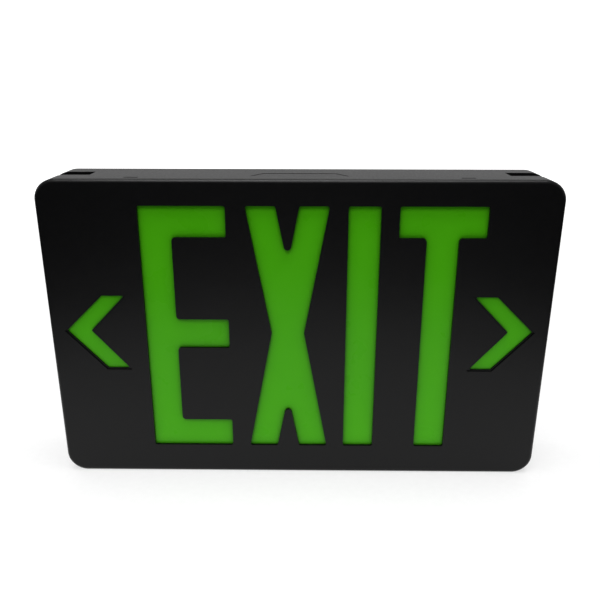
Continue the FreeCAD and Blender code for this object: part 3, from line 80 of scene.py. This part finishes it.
def surface(name, dark, pale, grain_mm, roughness, relief_mm, stretch=(1, 1, 1), **shader):
    """A Principled material on one noise: colour between two hex values, a roughness range, and relief.

    The grain is the size of one patch of the noise.
    """
    material = bpy.data.materials.new(name)
    material.use_nodes = True
    tree = material.node_tree
    tree.nodes.clear()
    place = add(tree, "ShaderNodeTexCoord")
    fitted = add(
        tree,
        "ShaderNodeMapping",
        {"Vector": place.outputs["Object"]},
        Scale=tuple(each / (grain_mm * MM) for each in stretch),
    )
    noise = add(
        tree,
        "ShaderNodeTexNoise",
        {"Vector": fitted.outputs["Vector"]},
        Scale=1.0,
        Detail=3.0,
        Roughness=0.55,
    )
    colour = add(tree, "ShaderNodeValToRGB", {"Fac": noise.outputs["Fac"]})
    colour.color_ramp.elements[0].position = 0.3
    colour.color_ramp.elements[0].color = linear(dark)
    colour.color_ramp.elements[1].position = 0.7
    colour.color_ramp.elements[1].color = linear(pale)
    gloss = add(
        tree,
        "ShaderNodeMapRange",
        {"Value": noise.outputs["Fac"]},
        From_Min=0.3,
        From_Max=0.7,
        To_Min=roughness[0],
        To_Max=roughness[1],
    )
    relief = add(
        tree,
        "ShaderNodeBump",
        {"Height": noise.outputs["Fac"]},
        Strength=1.0,
        Distance=relief_mm * MM,
    )
    shading = add(
        tree,
        "ShaderNodeBsdfPrincipled",
        {
            "Base Color": colour.outputs["Color"],
            "Roughness": gloss.outputs["Result"],
            "Normal": relief.outputs["Normal"],
        },
    )
    for label, value in shader.items():
        shading.inputs[label.replace("_", " ")].default_value = value
    add(tree, "ShaderNodeOutputMaterial", {"Surface": shading.outputs["BSDF"]})
    return material


def clothe(material, *nodes):
    """Puts one material on every slot of some CAD nodes."""
    for name in nodes:
        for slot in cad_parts[name].material_slots:
            slot.material = material


def vertices(items):
    """The vertices among what a mesh operation gave."""
    return [item for item in items if isinstance(item, bmesh.types.BMVert)]


def edges_of(items):
    """The edges among what a mesh operation gave."""
    return [item for item in items if isinstance(item, bmesh.types.BMEdge)]


def round_off(form, edges, width):
    """A narrow rounded bevel along some edges."""
    bmesh.ops.bevel(
        form,
        geom=edges,
        offset=width,
        offset_type="OFFSET",
        segments=2,
        profile=0.5,
        affect="EDGES",
        material=-1,
    )


def piece(name, form, material, body):
    """Makes an object of a finished bmesh, in place, riding on a body."""
    bmesh.ops.remove_doubles(form, verts=form.verts, dist=1e-7)
    bmesh.ops.recalc_face_normals(form, faces=form.faces)
    mesh = bpy.data.meshes.new(name)
    form.to_mesh(mesh)
    form.free()
    mesh.materials.append(material)
    for face in mesh.polygons:
        face.use_smooth = True
    thing = bpy.data.objects.new(name, mesh)
    bpy.context.scene.collection.objects.link(thing)
    crease = thing.modifiers.new("Crease", "EDGE_SPLIT")
    crease.split_angle = math.radians(35)
    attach(thing, body)
    return thing


# ---------------------------------------------------------------------------------------------------------
# Sizes and colours that a user would change
# ---------------------------------------------------------------------------------------------------------


class ExitLightFinish(bpy.types.PropertyGroup):
    grain: FloatProperty(
        name="Moulding grain",
        description="Size of the spark-eroded grain on the black mouldings",
        default=0.9,
        min=0.2,
        max=3.0,
    )
    lens_rise: FloatProperty(
        name="Lens rise",
        description="Height of the phosphor dome over each light source",
        default=0.0004,
        unit="LENGTH",
    )
    lens_radius: FloatProperty(
        name="Lens radius",
        description="Radius of the phosphor dome over each light source",
        default=0.0012,
        unit="LENGTH",
    )
    lights: IntProperty(
        name="Light sources",
        description="Light sources on each bar",
        default=12,
        min=1,
    )


class ExitLightStage(bpy.types.PropertyGroup):
    camera_place: FloatVectorProperty(
        name="Camera",
        description="Where the camera stands",
        default=(0.0043, -0.3813, 0.2422),
        subtype="XYZ",
        unit="LENGTH",
    )
    camera_pitch: FloatProperty(
        name="Pitch",
        description="How far the camera looks down",
        default=math.radians(19.26),
        subtype="ANGLE",
    )
    camera_yaw: FloatProperty(
        name="Yaw",
        description="How far the camera looks to the right",
        default=math.radians(-0.6),
        subtype="ANGLE",
    )
    camera_roll: FloatProperty(
        name="Roll",
        description="Turn of the camera about its view",
        default=math.radians(0.07),
        subtype="ANGLE",
    )
    lens: FloatProperty(
        name="Lens",
        description="Focal length in millimetres",
        default=39.3,
        min=10.0,
    )
    overhead: FloatProperty(
        name="Overhead softbox",
        description="Power of the softbox right over the sign",
        default=12.0,
        unit="POWER",
    )
    front: FloatProperty(
        name="Front softbox",
        description="Power of the softbox high in front",
        default=7.6,
        unit="POWER",
    )
    behind: FloatProperty(
        name="Light behind",
        description="Strength of the even light behind and over the sign",
        default=0.6,
        min=0.0,
    )
    ahead: FloatProperty(
        name="Light in front",
        description="Strength of the even light in front of the sign",
        default=0.2,
        min=0.0,
    )
    floor_reach: FloatProperty(
        name="Floor",
        description="Radius of the floor",
        default=8.0,
        unit="LENGTH",
    )
    backdrop_height: FloatProperty(
        name="Backdrop",
        description="Height of the backdrop round the floor",
        default=5.0,
        unit="LENGTH",
    )
    near_reach: FloatProperty(
        name="Near floor",
        description="Radius of the floor that shows in the gloss of the sign",
        default=0.34,
        unit="LENGTH",
    )


# ---------------------------------------------------------------------------------------------------------
# Pieces
# ---------------------------------------------------------------------------------------------------------


class EXITLIGHT_OT_mouldings(bpy.types.Operator):
    """Finishes the face plate, the housing frame and the back plate"""

    bl_idname = "exit_light.mouldings"
    bl_label = "Black mouldings"

    def execute(self, context):
        finish = context.scene.exit_light_finish
        plastic = moulded_abs(finish.grain)
        clothe(plastic, "face_plate", "housing_frame", "back_plate")
        canopy_blank(plastic)
        face_collar(plastic)
        return {"FINISHED"}


def canopy_blank(material):
    """The flush blank in the canopy seat of the top wall, with a hair gap all round."""
    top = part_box("housing_frame")[1].z
    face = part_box("face_plate")[0].y
    gap, sink, thick, edge_round = 0.15 * MM, 0.15 * MM, 0.9 * MM, 0.15 * MM
    seat_front, seat_back = 13.6 * MM, 24.2 * MM
    seat_front_half, seat_back_half = 28.3 * MM, 21.3 * MM
    front, back = face + seat_front + gap, face + seat_back - gap
    wide, narrow = seat_front_half - gap, seat_back_half - gap
    form = bmesh.new()
    bmesh.ops.create_grid(form, x_segments=1, y_segments=1, size=1.0)
    for vert in form.verts:
        half, place = (wide, front) if vert.co.y < 0 else (narrow, back)
        vert.co = Vector((math.copysign(half, vert.co.x), place, top - sink))
    rise = bmesh.ops.extrude_face_region(form, geom=form.faces[:])["geom"]
    verts = vertices(rise)
    bmesh.ops.translate(form, verts=verts, vec=(0, 0, -thick))
    rims = [edge for edge in form.edges if all(vert not in verts for vert in edge.verts)]
    round_off(form, rims, edge_round)
    return piece("canopy_blank", form, material, "sign")


def rounded_loop(form, half_x, half_z, radius, place):
    """A loop of vertices on a rounded rectangle that stands upright, facing along Y."""
    segments = 96
    turn = Matrix.Rotation(math.pi / segments, 4, "Z")
    loop = bmesh.ops.create_circle(form, segments=segments, radius=radius, matrix=turn)["verts"]
    for vert in loop:
        x = vert.co.x + math.copysign(half_x - radius, vert.co.x)
        z = vert.co.y + math.copysign(half_z - radius, vert.co.y)
        vert.co = place + Vector((x, 0, z))
    return loop


def face_collar(material):
    """The collar of the housing: a narrow ring that stands a little proud round the face's rounded edge."""
    low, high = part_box("face_plate")
    corner, width, edge_round = 12 * MM, 0.9 * MM, 0.12 * MM
    set_back, depth = 1.1 * MM, 0.8 * MM
    front = low.y + set_back
    place = Vector(((low.x + high.x) / 2, front, (low.z + high.z) / 2))
    half_x, half_z = (high.x - low.x) / 2, (high.z - low.z) / 2
    form = bmesh.new()
    outer = rounded_loop(form, half_x, half_z, corner, place)
    rounded_loop(form, half_x - width, half_z - width, corner - width, place)
    bmesh.ops.bridge_loops(form, edges=form.edges[:])
    rise = bmesh.ops.extrude_face_region(form, geom=form.faces[:])["geom"]
    verts = vertices(rise)
    bmesh.ops.translate(form, verts=verts, vec=(0, depth, 0))
    rims = [edge for edge in form.edges if all(vert in outer for vert in edge.verts)]
    round_off(form, rims, edge_round)
    return piece("face_collar", form, material, "sign")


def moulded_abs(grain):
    """Black ABS from a spark-eroded mould: near-black and satin, a fine pebble over slow waves."""
    material = surface(
        "moulded_abs",
        "#050506",
        "#070708",
        grain,
        (0.32, 0.42),
        0.02,
        IOR=1.46,
        Specular_IOR_Level=0.24,
    )
    tree = material.node_tree
    grain_relief = tree.nodes["Bump"]
    # Slow waves, about 45 mm long, as a thin moulding cools unevenly
    waves = add(
        tree,
        "ShaderNodeTexNoise",
        {"Vector": tree.nodes["Texture Coordinate"].outputs["Object"]},
        Scale=1 / (45 * MM),
        Detail=1.0,
    )
    wave_relief = add(
        tree,
        "ShaderNodeBump",
        {"Height": waves.outputs["Fac"], "Normal": grain_relief.outputs["Normal"]},
        Strength=1.0,
        Distance=0.35 * MM,
    )
    tree.links.new(wave_relief.outputs["Normal"], tree.nodes["Principled BSDF"].inputs["Normal"])
    return material


class EXITLIGHT_OT_colour_panel(bpy.types.Operator):
    """Finishes the green sheet behind the letters"""

    bl_idname = "exit_light.colour_panel"
    bl_label = "Colour panel"

    def execute(self, context):
        clothe(green_polycarbonate(), "colour_panel")
        return {"FINISHED"}


def green_polycarbonate():
    """Extruded green polycarbonate: an even, saturated colour under a smooth skin with soft highlights,
    darkened near the letters' walls by painted shade.
    """
    material = surface(
        "green_polycarbonate",
        "#46AC0A",
        "#49AE0C",
        22.0,
        (0.26, 0.32),
        0.002,
        IOR=1.5,
        Specular_IOR_Level=0.13,
    )
    tree = material.node_tree
    # Painted shade: an ambient occlusion node darkens the green colour towards the black walls of the
    # letters
    painted_wall_shade = add(
        tree,
        "ShaderNodeAmbientOcclusion",
        {"Color": tree.nodes["Color Ramp"].outputs["Color"]},
        samples=12,
        Distance=7 * MM,
    )
    tree.links.new(painted_wall_shade.outputs["Color"], tree.nodes["Principled BSDF"].inputs["Base Color"])
    return material


class EXITLIGHT_OT_hardware(bpy.types.Operator):
    """Finishes the screws, the battery strap and the button's spring"""

    bl_idname = "exit_light.hardware"
    bl_label = "Screws, strap and spring"

    def execute(self, context):
        # Zinc-plated steel: bluish grey with faint patches where the plating runs
        zinc = surface("zinc_plated_steel", "#A9ACAF", "#C2C5C7", 2.5, (0.26, 0.4), 0.006, Metallic=1.0)
        clothe(
            zinc,
            "back_plate_screws",
            "board_screws",
            "strap_screws",
            "light_bar_screws",
            "test_board_screws",
            "battery_strap",
        )
        # Hard-drawn spring wire: bright, with a very fine grain
        wire = surface("spring_wire", "#9D9E9F", "#CFCFCD", 0.3, (0.2, 0.34), 0.003, Metallic=1.0)
        clothe(wire, "button_spring")
        return {"FINISHED"}


class EXITLIGHT_OT_circuit(bpy.types.Operator):
    """Finishes the circuit board and its components, and adds their leads, vents and clamp screws"""

    bl_idname = "exit_light.circuit"
    bl_label = "Circuit board"

    def execute(self, context):
        # FR4 board under green solder mask: glossy, with paler patches where copper lies under it
        mask = surface("solder_mask", "#0B4526", "#12603A", 3.2, (0.22, 0.3), 0.03, IOR=1.5)
        clothe(mask, "circuit_board", "test_board")
        # Stacked laminations dipped in varnish: dark sheets of 0.5 mm that show as fine lines
        core = surface(
            "varnished_laminations",
            "#1E1D1C",
            "#3C3B39",
            2.0,
            (0.3, 0.45),
            0.05,
            stretch=(0.1, 4, 0.1),
            IOR=1.5,
        )
        clothe(core, "transformer_core")
        # Polyester tape wound over the coil: glossy yellow, with faint bands where the turns overlap
        tape = surface(
            "polyester_tape", "#C99A1C", "#DBB13A", 4.0, (0.2, 0.3), 0.08, stretch=(0.2, 0.2, 1), IOR=1.58
        )
        clothe(tape, "transformer_coil")
        # Shrunk vinyl sleeve over an aluminium can: dark blue and glossy, nearly even
        sleeve = surface("vinyl_sleeve", "#0E1220", "#151B2C", 6.0, (0.22, 0.3), 0.02, IOR=1.53)
        clothe(sleeve, "capacitors")
        clothe(banded_resistor(), "resistors")
        # Transfer-moulded epoxy: flat black with a faint grit
        epoxy = surface("moulded_epoxy", "#121213", "#1B1B1C", 0.5, (0.5, 0.62), 0.01, IOR=1.55)
        clothe(epoxy, "charge_regulator", "test_switch")
        # Moulded nylon 66, natural and dyed green: waxy, slightly blotchy
        nylon = surface("natural_nylon", "#D9D3C2", "#E7E2D4", 3.0, (0.4, 0.5), 0.02, IOR=1.53)
        clothe(nylon, "battery_socket", "battery_plug")
        dyed = surface("green_nylon", "#1C6B38", "#238044", 3.0, (0.4, 0.5), 0.02, IOR=1.53)
        clothe(dyed, "supply_terminal")
        resistor_legs()
        can_vents()
        clamp_screws()
        return {"FINISHED"}


def banded_resistor():
    """Beige lacquer with three painted rings. The rings stand across X, the length of every resistor."""
    material = surface("resistor_lacquer", "#B79A6A", "#C4A878", 1.5, (0.35, 0.45), 0.02, IOR=1.5)
    tree = material.node_tree
    low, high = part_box("resistors")
    place = tree.nodes["Texture Coordinate"]
    along = add(tree, "ShaderNodeSeparateXYZ", {"Vector": place.outputs["Object"]})
    share = add(
        tree,
        "ShaderNodeMapRange",
        {"Value": along.outputs["X"]},
        From_Min=low.x,
        From_Max=high.x,
    )
    rings = add(tree, "ShaderNodeValToRGB", {"Fac": share.outputs["Result"]})
    ramp = rings.color_ramp
    ramp.interpolation = "CONSTANT"
    ramp.elements[0].color = linear("#BFA272")
    ramp.elements[1].position = 0.2
    ramp.elements[1].color = linear("#7A3B16")
    for position, colour in (
        (0.3, "#BFA272"),
        (0.42, "#141414"),
        (0.52, "#BFA272"),
        (0.64, "#B5301C"),
        (0.74, "#BFA272"),
    ):
        ramp.elements.new(position).color = linear(colour)
    tree.links.new(rings.outputs["Color"], tree.nodes["Principled BSDF"].inputs["Base Color"])
    return material


def bright_tin():
    """Tinned copper for leads and screws: soft bright metal."""
    found = bpy.data.materials.get("tinned_copper")
    return found or surface("tinned_copper", "#B9B7B0", "#D6D4CD", 0.6, (0.25, 0.4), 0.004, Metallic=1.0)


def resistor_legs():
    """Two legs to each resistor, out of its ends and down into the board."""
    count = 4
    wire, bite, straight, bend = 0.3 * MM, 0.2 * MM, 0.6 * MM, 1.0 * MM
    low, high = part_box("resistors")
    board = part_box("circuit_board")[0].y
    radius = (high.y - low.y) / 2
    pitch = (high.z - low.z - 2 * radius) / (count - 1)
    turn = Matrix.Rotation(math.pi / 2, 4, "Y")
    form = bmesh.new()
    for index in range(count):
        height = low.z + radius + index * pitch
        for side, end in ((-1, low.x), (1, high.x)):
            ring = bmesh.ops.create_circle(form, segments=10, radius=wire)["verts"]
            shift = Matrix.Translation((end - side * bite, (low.y + high.y) / 2, height))
            bmesh.ops.transform(form, matrix=shift @ turn, verts=ring)
            edges = list({edge for vert in ring for edge in vert.link_edges})
            run = bmesh.ops.extrude_edge_only(form, edges=edges)["geom"]
            verts = vertices(run)
            bmesh.ops.translate(form, verts=verts, vec=(side * straight, 0, 0))
            edges = [edge for edge in edges_of(run) if all(vert in verts for vert in edge.verts)]
            centre = verts_centre(verts) + Vector((0, bend, 0))
            bmesh.ops.spin(
                form,
                geom=verts + edges,
                cent=centre,
                axis=(0, 0, 1),
                dvec=(0, 0, 0),
                angle=side * math.pi / 2,
                steps=5,
                use_duplicate=False,
            )
            last = [
                vert
                for vert in form.verts
                if abs(vert.co.y - centre.y) < 1e-6
                and vert.is_boundary
                and abs(vert.co.z - height) < 2 * wire
                and (vert.co.x - centre.x) * side > 0
            ]
            edges = [edge for edge in {e for vert in last for e in vert.link_edges} if edge.is_boundary]
            run = bmesh.ops.extrude_edge_only(form, edges=edges)["geom"]
            bmesh.ops.translate(form, verts=vertices(run), vec=(0, board - centre.y, 0))
    bmesh.ops.holes_fill(form, edges=form.edges)
    return piece("resistor_legs", form, bright_tin(), "sign")


def verts_centre(verts):
    """The mean place of some vertices."""
    return sum((vert.co for vert in verts), Vector()) / len(verts)


def can_vents():
    """A thin aluminium disc just in front of each capacitor's end."""
    # Etched aluminium: pale and satin with a fine grain
    aluminium = surface("etched_aluminium", "#B4B6B8", "#CBCDCF", 0.8, (0.3, 0.42), 0.01, Metallic=1.0)
    low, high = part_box("capacitors")
    radius = (high.z - low.z) / 2
    pitch, cover = 13 * MM, 0.8
    apart, thick = 0.15 * MM, 0.02 * MM
    turn = Matrix.Rotation(math.pi / 2, 4, "X")
    form = bmesh.new()
    # The third can is smaller and shorter than the other two
    for index, scale, drop in ((0, 1, 0), (1, 1, 0), (2, 0.64, 1.5 * MM)):
        centre = Vector((low.x + radius + index * pitch, low.y + drop, (low.z + high.z) / 2))
        reach = radius * scale * cover
        disc = bmesh.ops.create_circle(form, cap_ends=True, segments=32, radius=reach)["verts"]
        bmesh.ops.transform(form, matrix=Matrix.Translation(centre) @ turn, verts=disc)
        face = [face for face in form.faces if all(vert in disc for vert in face.verts)]
        bmesh.ops.translate(form, verts=face[0].verts[:], vec=(0, -apart, 0))
        rise = bmesh.ops.extrude_face_region(form, geom=face)["geom"]
        bmesh.ops.translate(form, verts=vertices(rise), vec=(0, -thick, 0))
    return piece("capacitor_vents", form, aluminium, "sign")


def clamp_screws():
    """Plain clamp screws down in the supply terminal's wells."""
    low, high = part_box("supply_terminal")
    width = (high.x - low.x) / 2
    radius, height, edge_round = width * 0.33, 2 * MM, 0.2 * MM
    turn = Matrix.Rotation(math.pi / 2, 4, "X")
    form = bmesh.new()
    for index in (0, 1):
        centre = Vector((low.x + (index + 0.5) * width, (low.y + high.y) / 2, (low.z + high.z) / 2))
        made = bmesh.ops.create_cone(
            form, cap_ends=True, segments=24, radius1=radius, radius2=radius, depth=height
        )["verts"]
        shift = Matrix.Translation(centre - Vector((0, 1 * MM, 0)))
        bmesh.ops.transform(form, matrix=shift @ turn, verts=made)
        rims = [
            edge
            for edge in {edge for vert in made for edge in vert.link_edges}
            if all(vert.co.y < centre.y - 1.5 * MM for vert in edge.verts)
        ]
        round_off(form, rims, edge_round)
    return piece("terminal_screws", form, bright_tin(), "sign")


class EXITLIGHT_OT_light_bars(bpy.types.Operator):
    """Finishes the light bars and adds the phosphor domes of their light sources"""

    bl_idname = "exit_light.light_bars"
    bl_label = "Light bars"

    def execute(self, context):
        finish = context.scene.exit_light_finish
        # White solder mask: bright and slightly glossy, to send light forwards
        board = surface("white_solder_mask", "#DADAD6", "#E8E8E4", 4.0, (0.28, 0.36), 0.02, IOR=1.5)
        clothe(board, "upper_light_bar", "lower_light_bar")
        # Moulded white package round each chip: bright and matt
        package = surface("light_package", "#DEDCD2", "#ECEAE2", 1.0, (0.4, 0.5), 0.01, IOR=1.5)
        clothe(package, "upper_lights", "lower_lights")
        # Silicone with yellow phosphor: a soft sheen over faintly mottled yellow
        phosphor = surface("phosphor_silicone", "#D9B733", "#E6C94E", 0.7, (0.25, 0.35), 0.01, IOR=1.42)
        for name in ("upper_lights", "lower_lights"):
            domes(name, phosphor, finish)
        return {"FINISHED"}


def domes(node, material, finish):
    """A low dome over the front of each light source."""
    low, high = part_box(node)
    width = 3.5 * MM
    pitch = (high.x - low.x - width) / (finish.lights - 1)
    squash = Matrix.Diagonal((1, finish.lens_rise / finish.lens_radius, 1, 1))
    form = bmesh.new()
    for index in range(finish.lights):
        centre = Vector((low.x + width / 2 + index * pitch, low.y, (low.z + high.z) / 2))
        ball = bmesh.ops.create_uvsphere(
            form, u_segments=16, v_segments=8, radius=finish.lens_radius
        )["verts"]
        bmesh.ops.transform(form, matrix=Matrix.Translation(centre) @ squash, verts=ball)
    return piece(node + "_domes", form, material, "sign")


class EXITLIGHT_OT_battery(bpy.types.Operator):
    """Finishes the battery pack"""

    bl_idname = "exit_light.battery"
    bl_label = "Battery"

    def execute(self, context):
        # Shrunk vinyl over three cells: glossy yellow, drawn into fine creases along the cells
        sleeve = surface(
            "battery_vinyl", "#C29A0F", "#D4AC1C", 5.0, (0.2, 0.3), 0.12, stretch=(0.3, 1, 1), IOR=1.53
        )
        clothe(sleeve, "battery_pack")
        return {"FINISHED"}


class EXITLIGHT_OT_test_station(bpy.types.Operator):
    """Finishes the test button and the pilot lamp"""

    bl_idname = "exit_light.test_station"
    bl_label = "Test button and lamp"

    def execute(self, context):
        # Polished red acetal: even and glossy, dulled a little in patches as by fingers
        button = surface("red_acetal", "#8E0F10", "#A01415", 1.6, (0.22, 0.36), 0.01, IOR=1.48)
        clothe(button, "test_button")
        # Cast green epoxy: deep colour, very smooth
        lamp = surface(
            "cast_epoxy", "#1F7A30", "#2A8F3C", 3.0, (0.08, 0.12), 0.003, IOR=1.52, Transmission_Weight=0.35
        )
        clothe(lamp, "pilot_lamp")
        return {"FINISHED"}


class EXITLIGHT_OT_wiring(bpy.types.Operator):
    """Finishes the leads between the boards"""

    bl_idname = "exit_light.wiring"
    bl_label = "Leads"

    def execute(self, context):
        # Extruded vinyl insulation: even colour, a dull shine along the wire
        for node, name, dark, pale in (
            ("battery_leads", "red_vinyl", "#931510", "#A51C15"),
            ("light_leads", "white_vinyl", "#CBC9C2", "#D9D7D0"),
            ("switch_leads", "yellow_vinyl", "#BF9A1A", "#CCA82A"),
        ):
            clothe(surface(name, dark, pale, 2.0, (0.35, 0.45), 0.01, IOR=1.53), node)
        return {"FINISHED"}


# ---------------------------------------------------------------------------------------------------------
# Stage
# ---------------------------------------------------------------------------------------------------------


class EXITLIGHT_OT_stage(bpy.types.Operator):
    """Lays the floor, hangs the softboxes and stands the camera"""

    bl_idname = "exit_light.stage"
    bl_label = "Stage"

    def execute(self, context):
        settings = context.scene.exit_light_stage
        floors(settings)
        softbox("overhead_softbox", (0, -0.05, 1.15), (0, 0.0, 0.1), (0.9, 0.5), settings.overhead)
        softbox("front_softbox", (-0.15, -0.85, 1.25), (0, 0, 0.09), (0.9, 0.5), settings.front)
        sky(context.scene, settings)
        camera(context.scene, settings)
        context.scene.view_settings.view_transform = "Standard"
        return {"FINISHED"}


def opal_acrylic():
    """Opal acrylic lit from behind: white and even, brighter away from the sign, so no far edge shows."""
    material = surface("opal_acrylic", "#929292", "#989898", 4.0, (0.5, 0.6), 0.0, IOR=1.49)
    tree = material.node_tree
    shading = tree.nodes["Principled BSDF"]
    place = tree.nodes["Texture Coordinate"]
    reach = add(tree, "ShaderNodeVectorMath", {"Vector": place.outputs["Object"]}, operation="LENGTH")
    glow = add(
        tree,
        "ShaderNodeMapRange",
        {"Value": reach.outputs["Value"]},
        From_Min=0.25,
        From_Max=1.5,
        To_Min=0.62,
        To_Max=1.1,
        interpolation_type="SMOOTHSTEP",
    )
    tree.links.new(glow.outputs["Result"], shading.inputs["Emission Strength"])
    shading.inputs["Emission Color"].default_value = (1.0, 1.0, 1.0, 1.0)
    return material


def floors(settings):
    """A white floor with a round backdrop. Only the near disc of the floor lights the sign."""
    acrylic = opal_acrylic()
    drop = -0.2 * MM
    near = bmesh.new()
    bmesh.ops.create_circle(near, cap_ends=True, segments=96, radius=settings.near_reach)
    bmesh.ops.translate(near, verts=near.verts, vec=(0, 0, drop))
    far = bmesh.new()
    bmesh.ops.create_circle(far, segments=96, radius=settings.near_reach)
    rings = bmesh.ops.extrude_edge_only(far, edges=far.edges)["geom"]
    outer = vertices(rings)
    bmesh.ops.scale(far, verts=outer, vec=(settings.floor_reach / settings.near_reach,) * 3)
    rim = edges_of(rings)
    rings = bmesh.ops.extrude_edge_only(far, edges=rim)["geom"]
    upper = vertices(rings)
    bmesh.ops.translate(far, verts=upper, vec=(0, 0, settings.backdrop_height))
    bmesh.ops.translate(far, verts=far.verts, vec=(0, 0, drop))
    for name, form in (("near_floor", near), ("far_floor", far)):
        bmesh.ops.recalc_face_normals(form, faces=form.faces)
        mesh = bpy.data.meshes.new(name)
        form.to_mesh(mesh)
        form.free()
        mesh.materials.append(acrylic)
        thing = bpy.data.objects.new(name, mesh)
        bpy.context.scene.collection.objects.link(thing)
        lit = name == "near_floor"
        thing.visible_glossy = lit
        thing.visible_diffuse = lit
        thing.visible_transmission = lit
        thing.visible_shadow = lit


def softbox(name, place, target, size, power):
    """A rectangular area lamp at a place, turned to its target."""
    lamp = bpy.data.lights.new(name, "AREA")
    lamp.shape = "RECTANGLE"
    lamp.size = size[0]
    lamp.size_y = size[1]
    lamp.energy = power
    thing = bpy.data.objects.new(name, lamp)
    thing.location = place
    aim = Vector(target) - Vector(place)
    thing.rotation_euler = aim.to_track_quat("-Z", "Y").to_euler()
    bpy.context.scene.collection.objects.link(thing)


def sky(scene, settings):
    """Even light from all round: most behind and over the sign, less in front, and hardly any from below."""
    world = bpy.data.worlds.new("studio")
    scene.world = world
    world.use_nodes = True
    tree = world.node_tree
    tree.nodes.clear()
    place = add(tree, "ShaderNodeTexCoord")
    way = add(tree, "ShaderNodeSeparateXYZ", {"Vector": place.outputs["Generated"]})
    depth = add(
        tree,
        "ShaderNodeMapRange",
        {"Value": way.outputs["Y"]},
        From_Min=-0.75,
        From_Max=0.3,
        To_Min=settings.ahead,
        To_Max=settings.behind,
        interpolation_type="SMOOTHSTEP",
    )
    lift = add(
        tree,
        "ShaderNodeMapRange",
        {"Value": way.outputs["Z"]},
        From_Min=-0.02,
        From_Max=0.03,
        To_Min=0.1,
        To_Max=1.0,
        interpolation_type="SMOOTHSTEP",
    )
    both = add(tree, "ShaderNodeMath", operation="MULTIPLY")
    tree.links.new(lift.outputs["Result"], both.inputs[0])
    tree.links.new(depth.outputs["Result"], both.inputs[1])
    glow = add(
        tree,
        "ShaderNodeBackground",
        {"Strength": both.outputs["Value"]},
        Color=(1.0, 1.0, 1.0, 1.0),
    )
    add(tree, "ShaderNodeOutputWorld", {"Surface": glow.outputs["Background"]})


def camera(scene, settings):
    """The camera, by its place, pitch, yaw and roll."""
    lens = bpy.data.cameras.new("camera")
    lens.lens = settings.lens
    lens.sensor_width = 36.0
    lens.clip_start = 0.01
    lens.clip_end = 50.0
    thing = bpy.data.objects.new("camera", lens)
    scene.collection.objects.link(thing)
    pitch, yaw = settings.camera_pitch, settings.camera_yaw
    ahead = Vector((math.sin(yaw) * math.cos(pitch), math.cos(yaw) * math.cos(pitch), -math.sin(pitch)))
    right = Vector((math.cos(yaw), -math.sin(yaw), 0))
    up = right.cross(ahead)
    turn = Matrix((right, up, -ahead)).transposed().to_4x4()
    roll = Matrix.Rotation(settings.camera_roll, 4, "Z")
    thing.matrix_world = Matrix.Translation(settings.camera_place) @ turn @ roll
    scene.camera = thing


# ---------------------------------------------------------------------------------------------------------
# Panel and registration
# ---------------------------------------------------------------------------------------------------------

OPERATORS = (
    EXITLIGHT_OT_stage,
    EXITLIGHT_OT_mouldings,
    EXITLIGHT_OT_colour_panel,
    EXITLIGHT_OT_hardware,
    EXITLIGHT_OT_circuit,
    EXITLIGHT_OT_light_bars,
    EXITLIGHT_OT_battery,
    EXITLIGHT_OT_test_station,
    EXITLIGHT_OT_wiring,
)


class EXITLIGHT_PT_sidebar(bpy.types.Panel):
    bl_idname = "EXITLIGHT_PT_sidebar"
    bl_label = "Exit Light"
    bl_space_type = "VIEW_3D"
    bl_region_type = "UI"
    bl_category = "Exit Light"

    def draw(self, context):
        for settings in (context.scene.exit_light_finish, context.scene.exit_light_stage):
            column = self.layout.column()
            for name in settings.__annotations__:
                column.prop(settings, name)
        for operator in OPERATORS:
            self.layout.operator(operator.bl_idname)


CLASSES = (ExitLightFinish, ExitLightStage, *OPERATORS, EXITLIGHT_PT_sidebar)


def register():
    """Adds the classes and the two groups of settings."""
    for each in CLASSES:
        bpy.utils.register_class(each)
    bpy.types.Scene.exit_light_finish = PointerProperty(type=ExitLightFinish)
    bpy.types.Scene.exit_light_stage = PointerProperty(type=ExitLightStage)


def unregister():
    """Takes the settings and the classes away again."""
    del bpy.types.Scene.exit_light_stage
    del bpy.types.Scene.exit_light_finish
    for each in reversed(CLASSES):
        bpy.utils.unregister_class(each)


def main():
    """Makes every piece and the stage."""
    register()
    for operator in OPERATORS:
        group, name = operator.bl_idname.split(".")
        getattr(getattr(bpy.ops, group), name)()


if __name__ == "__main__":
    main()
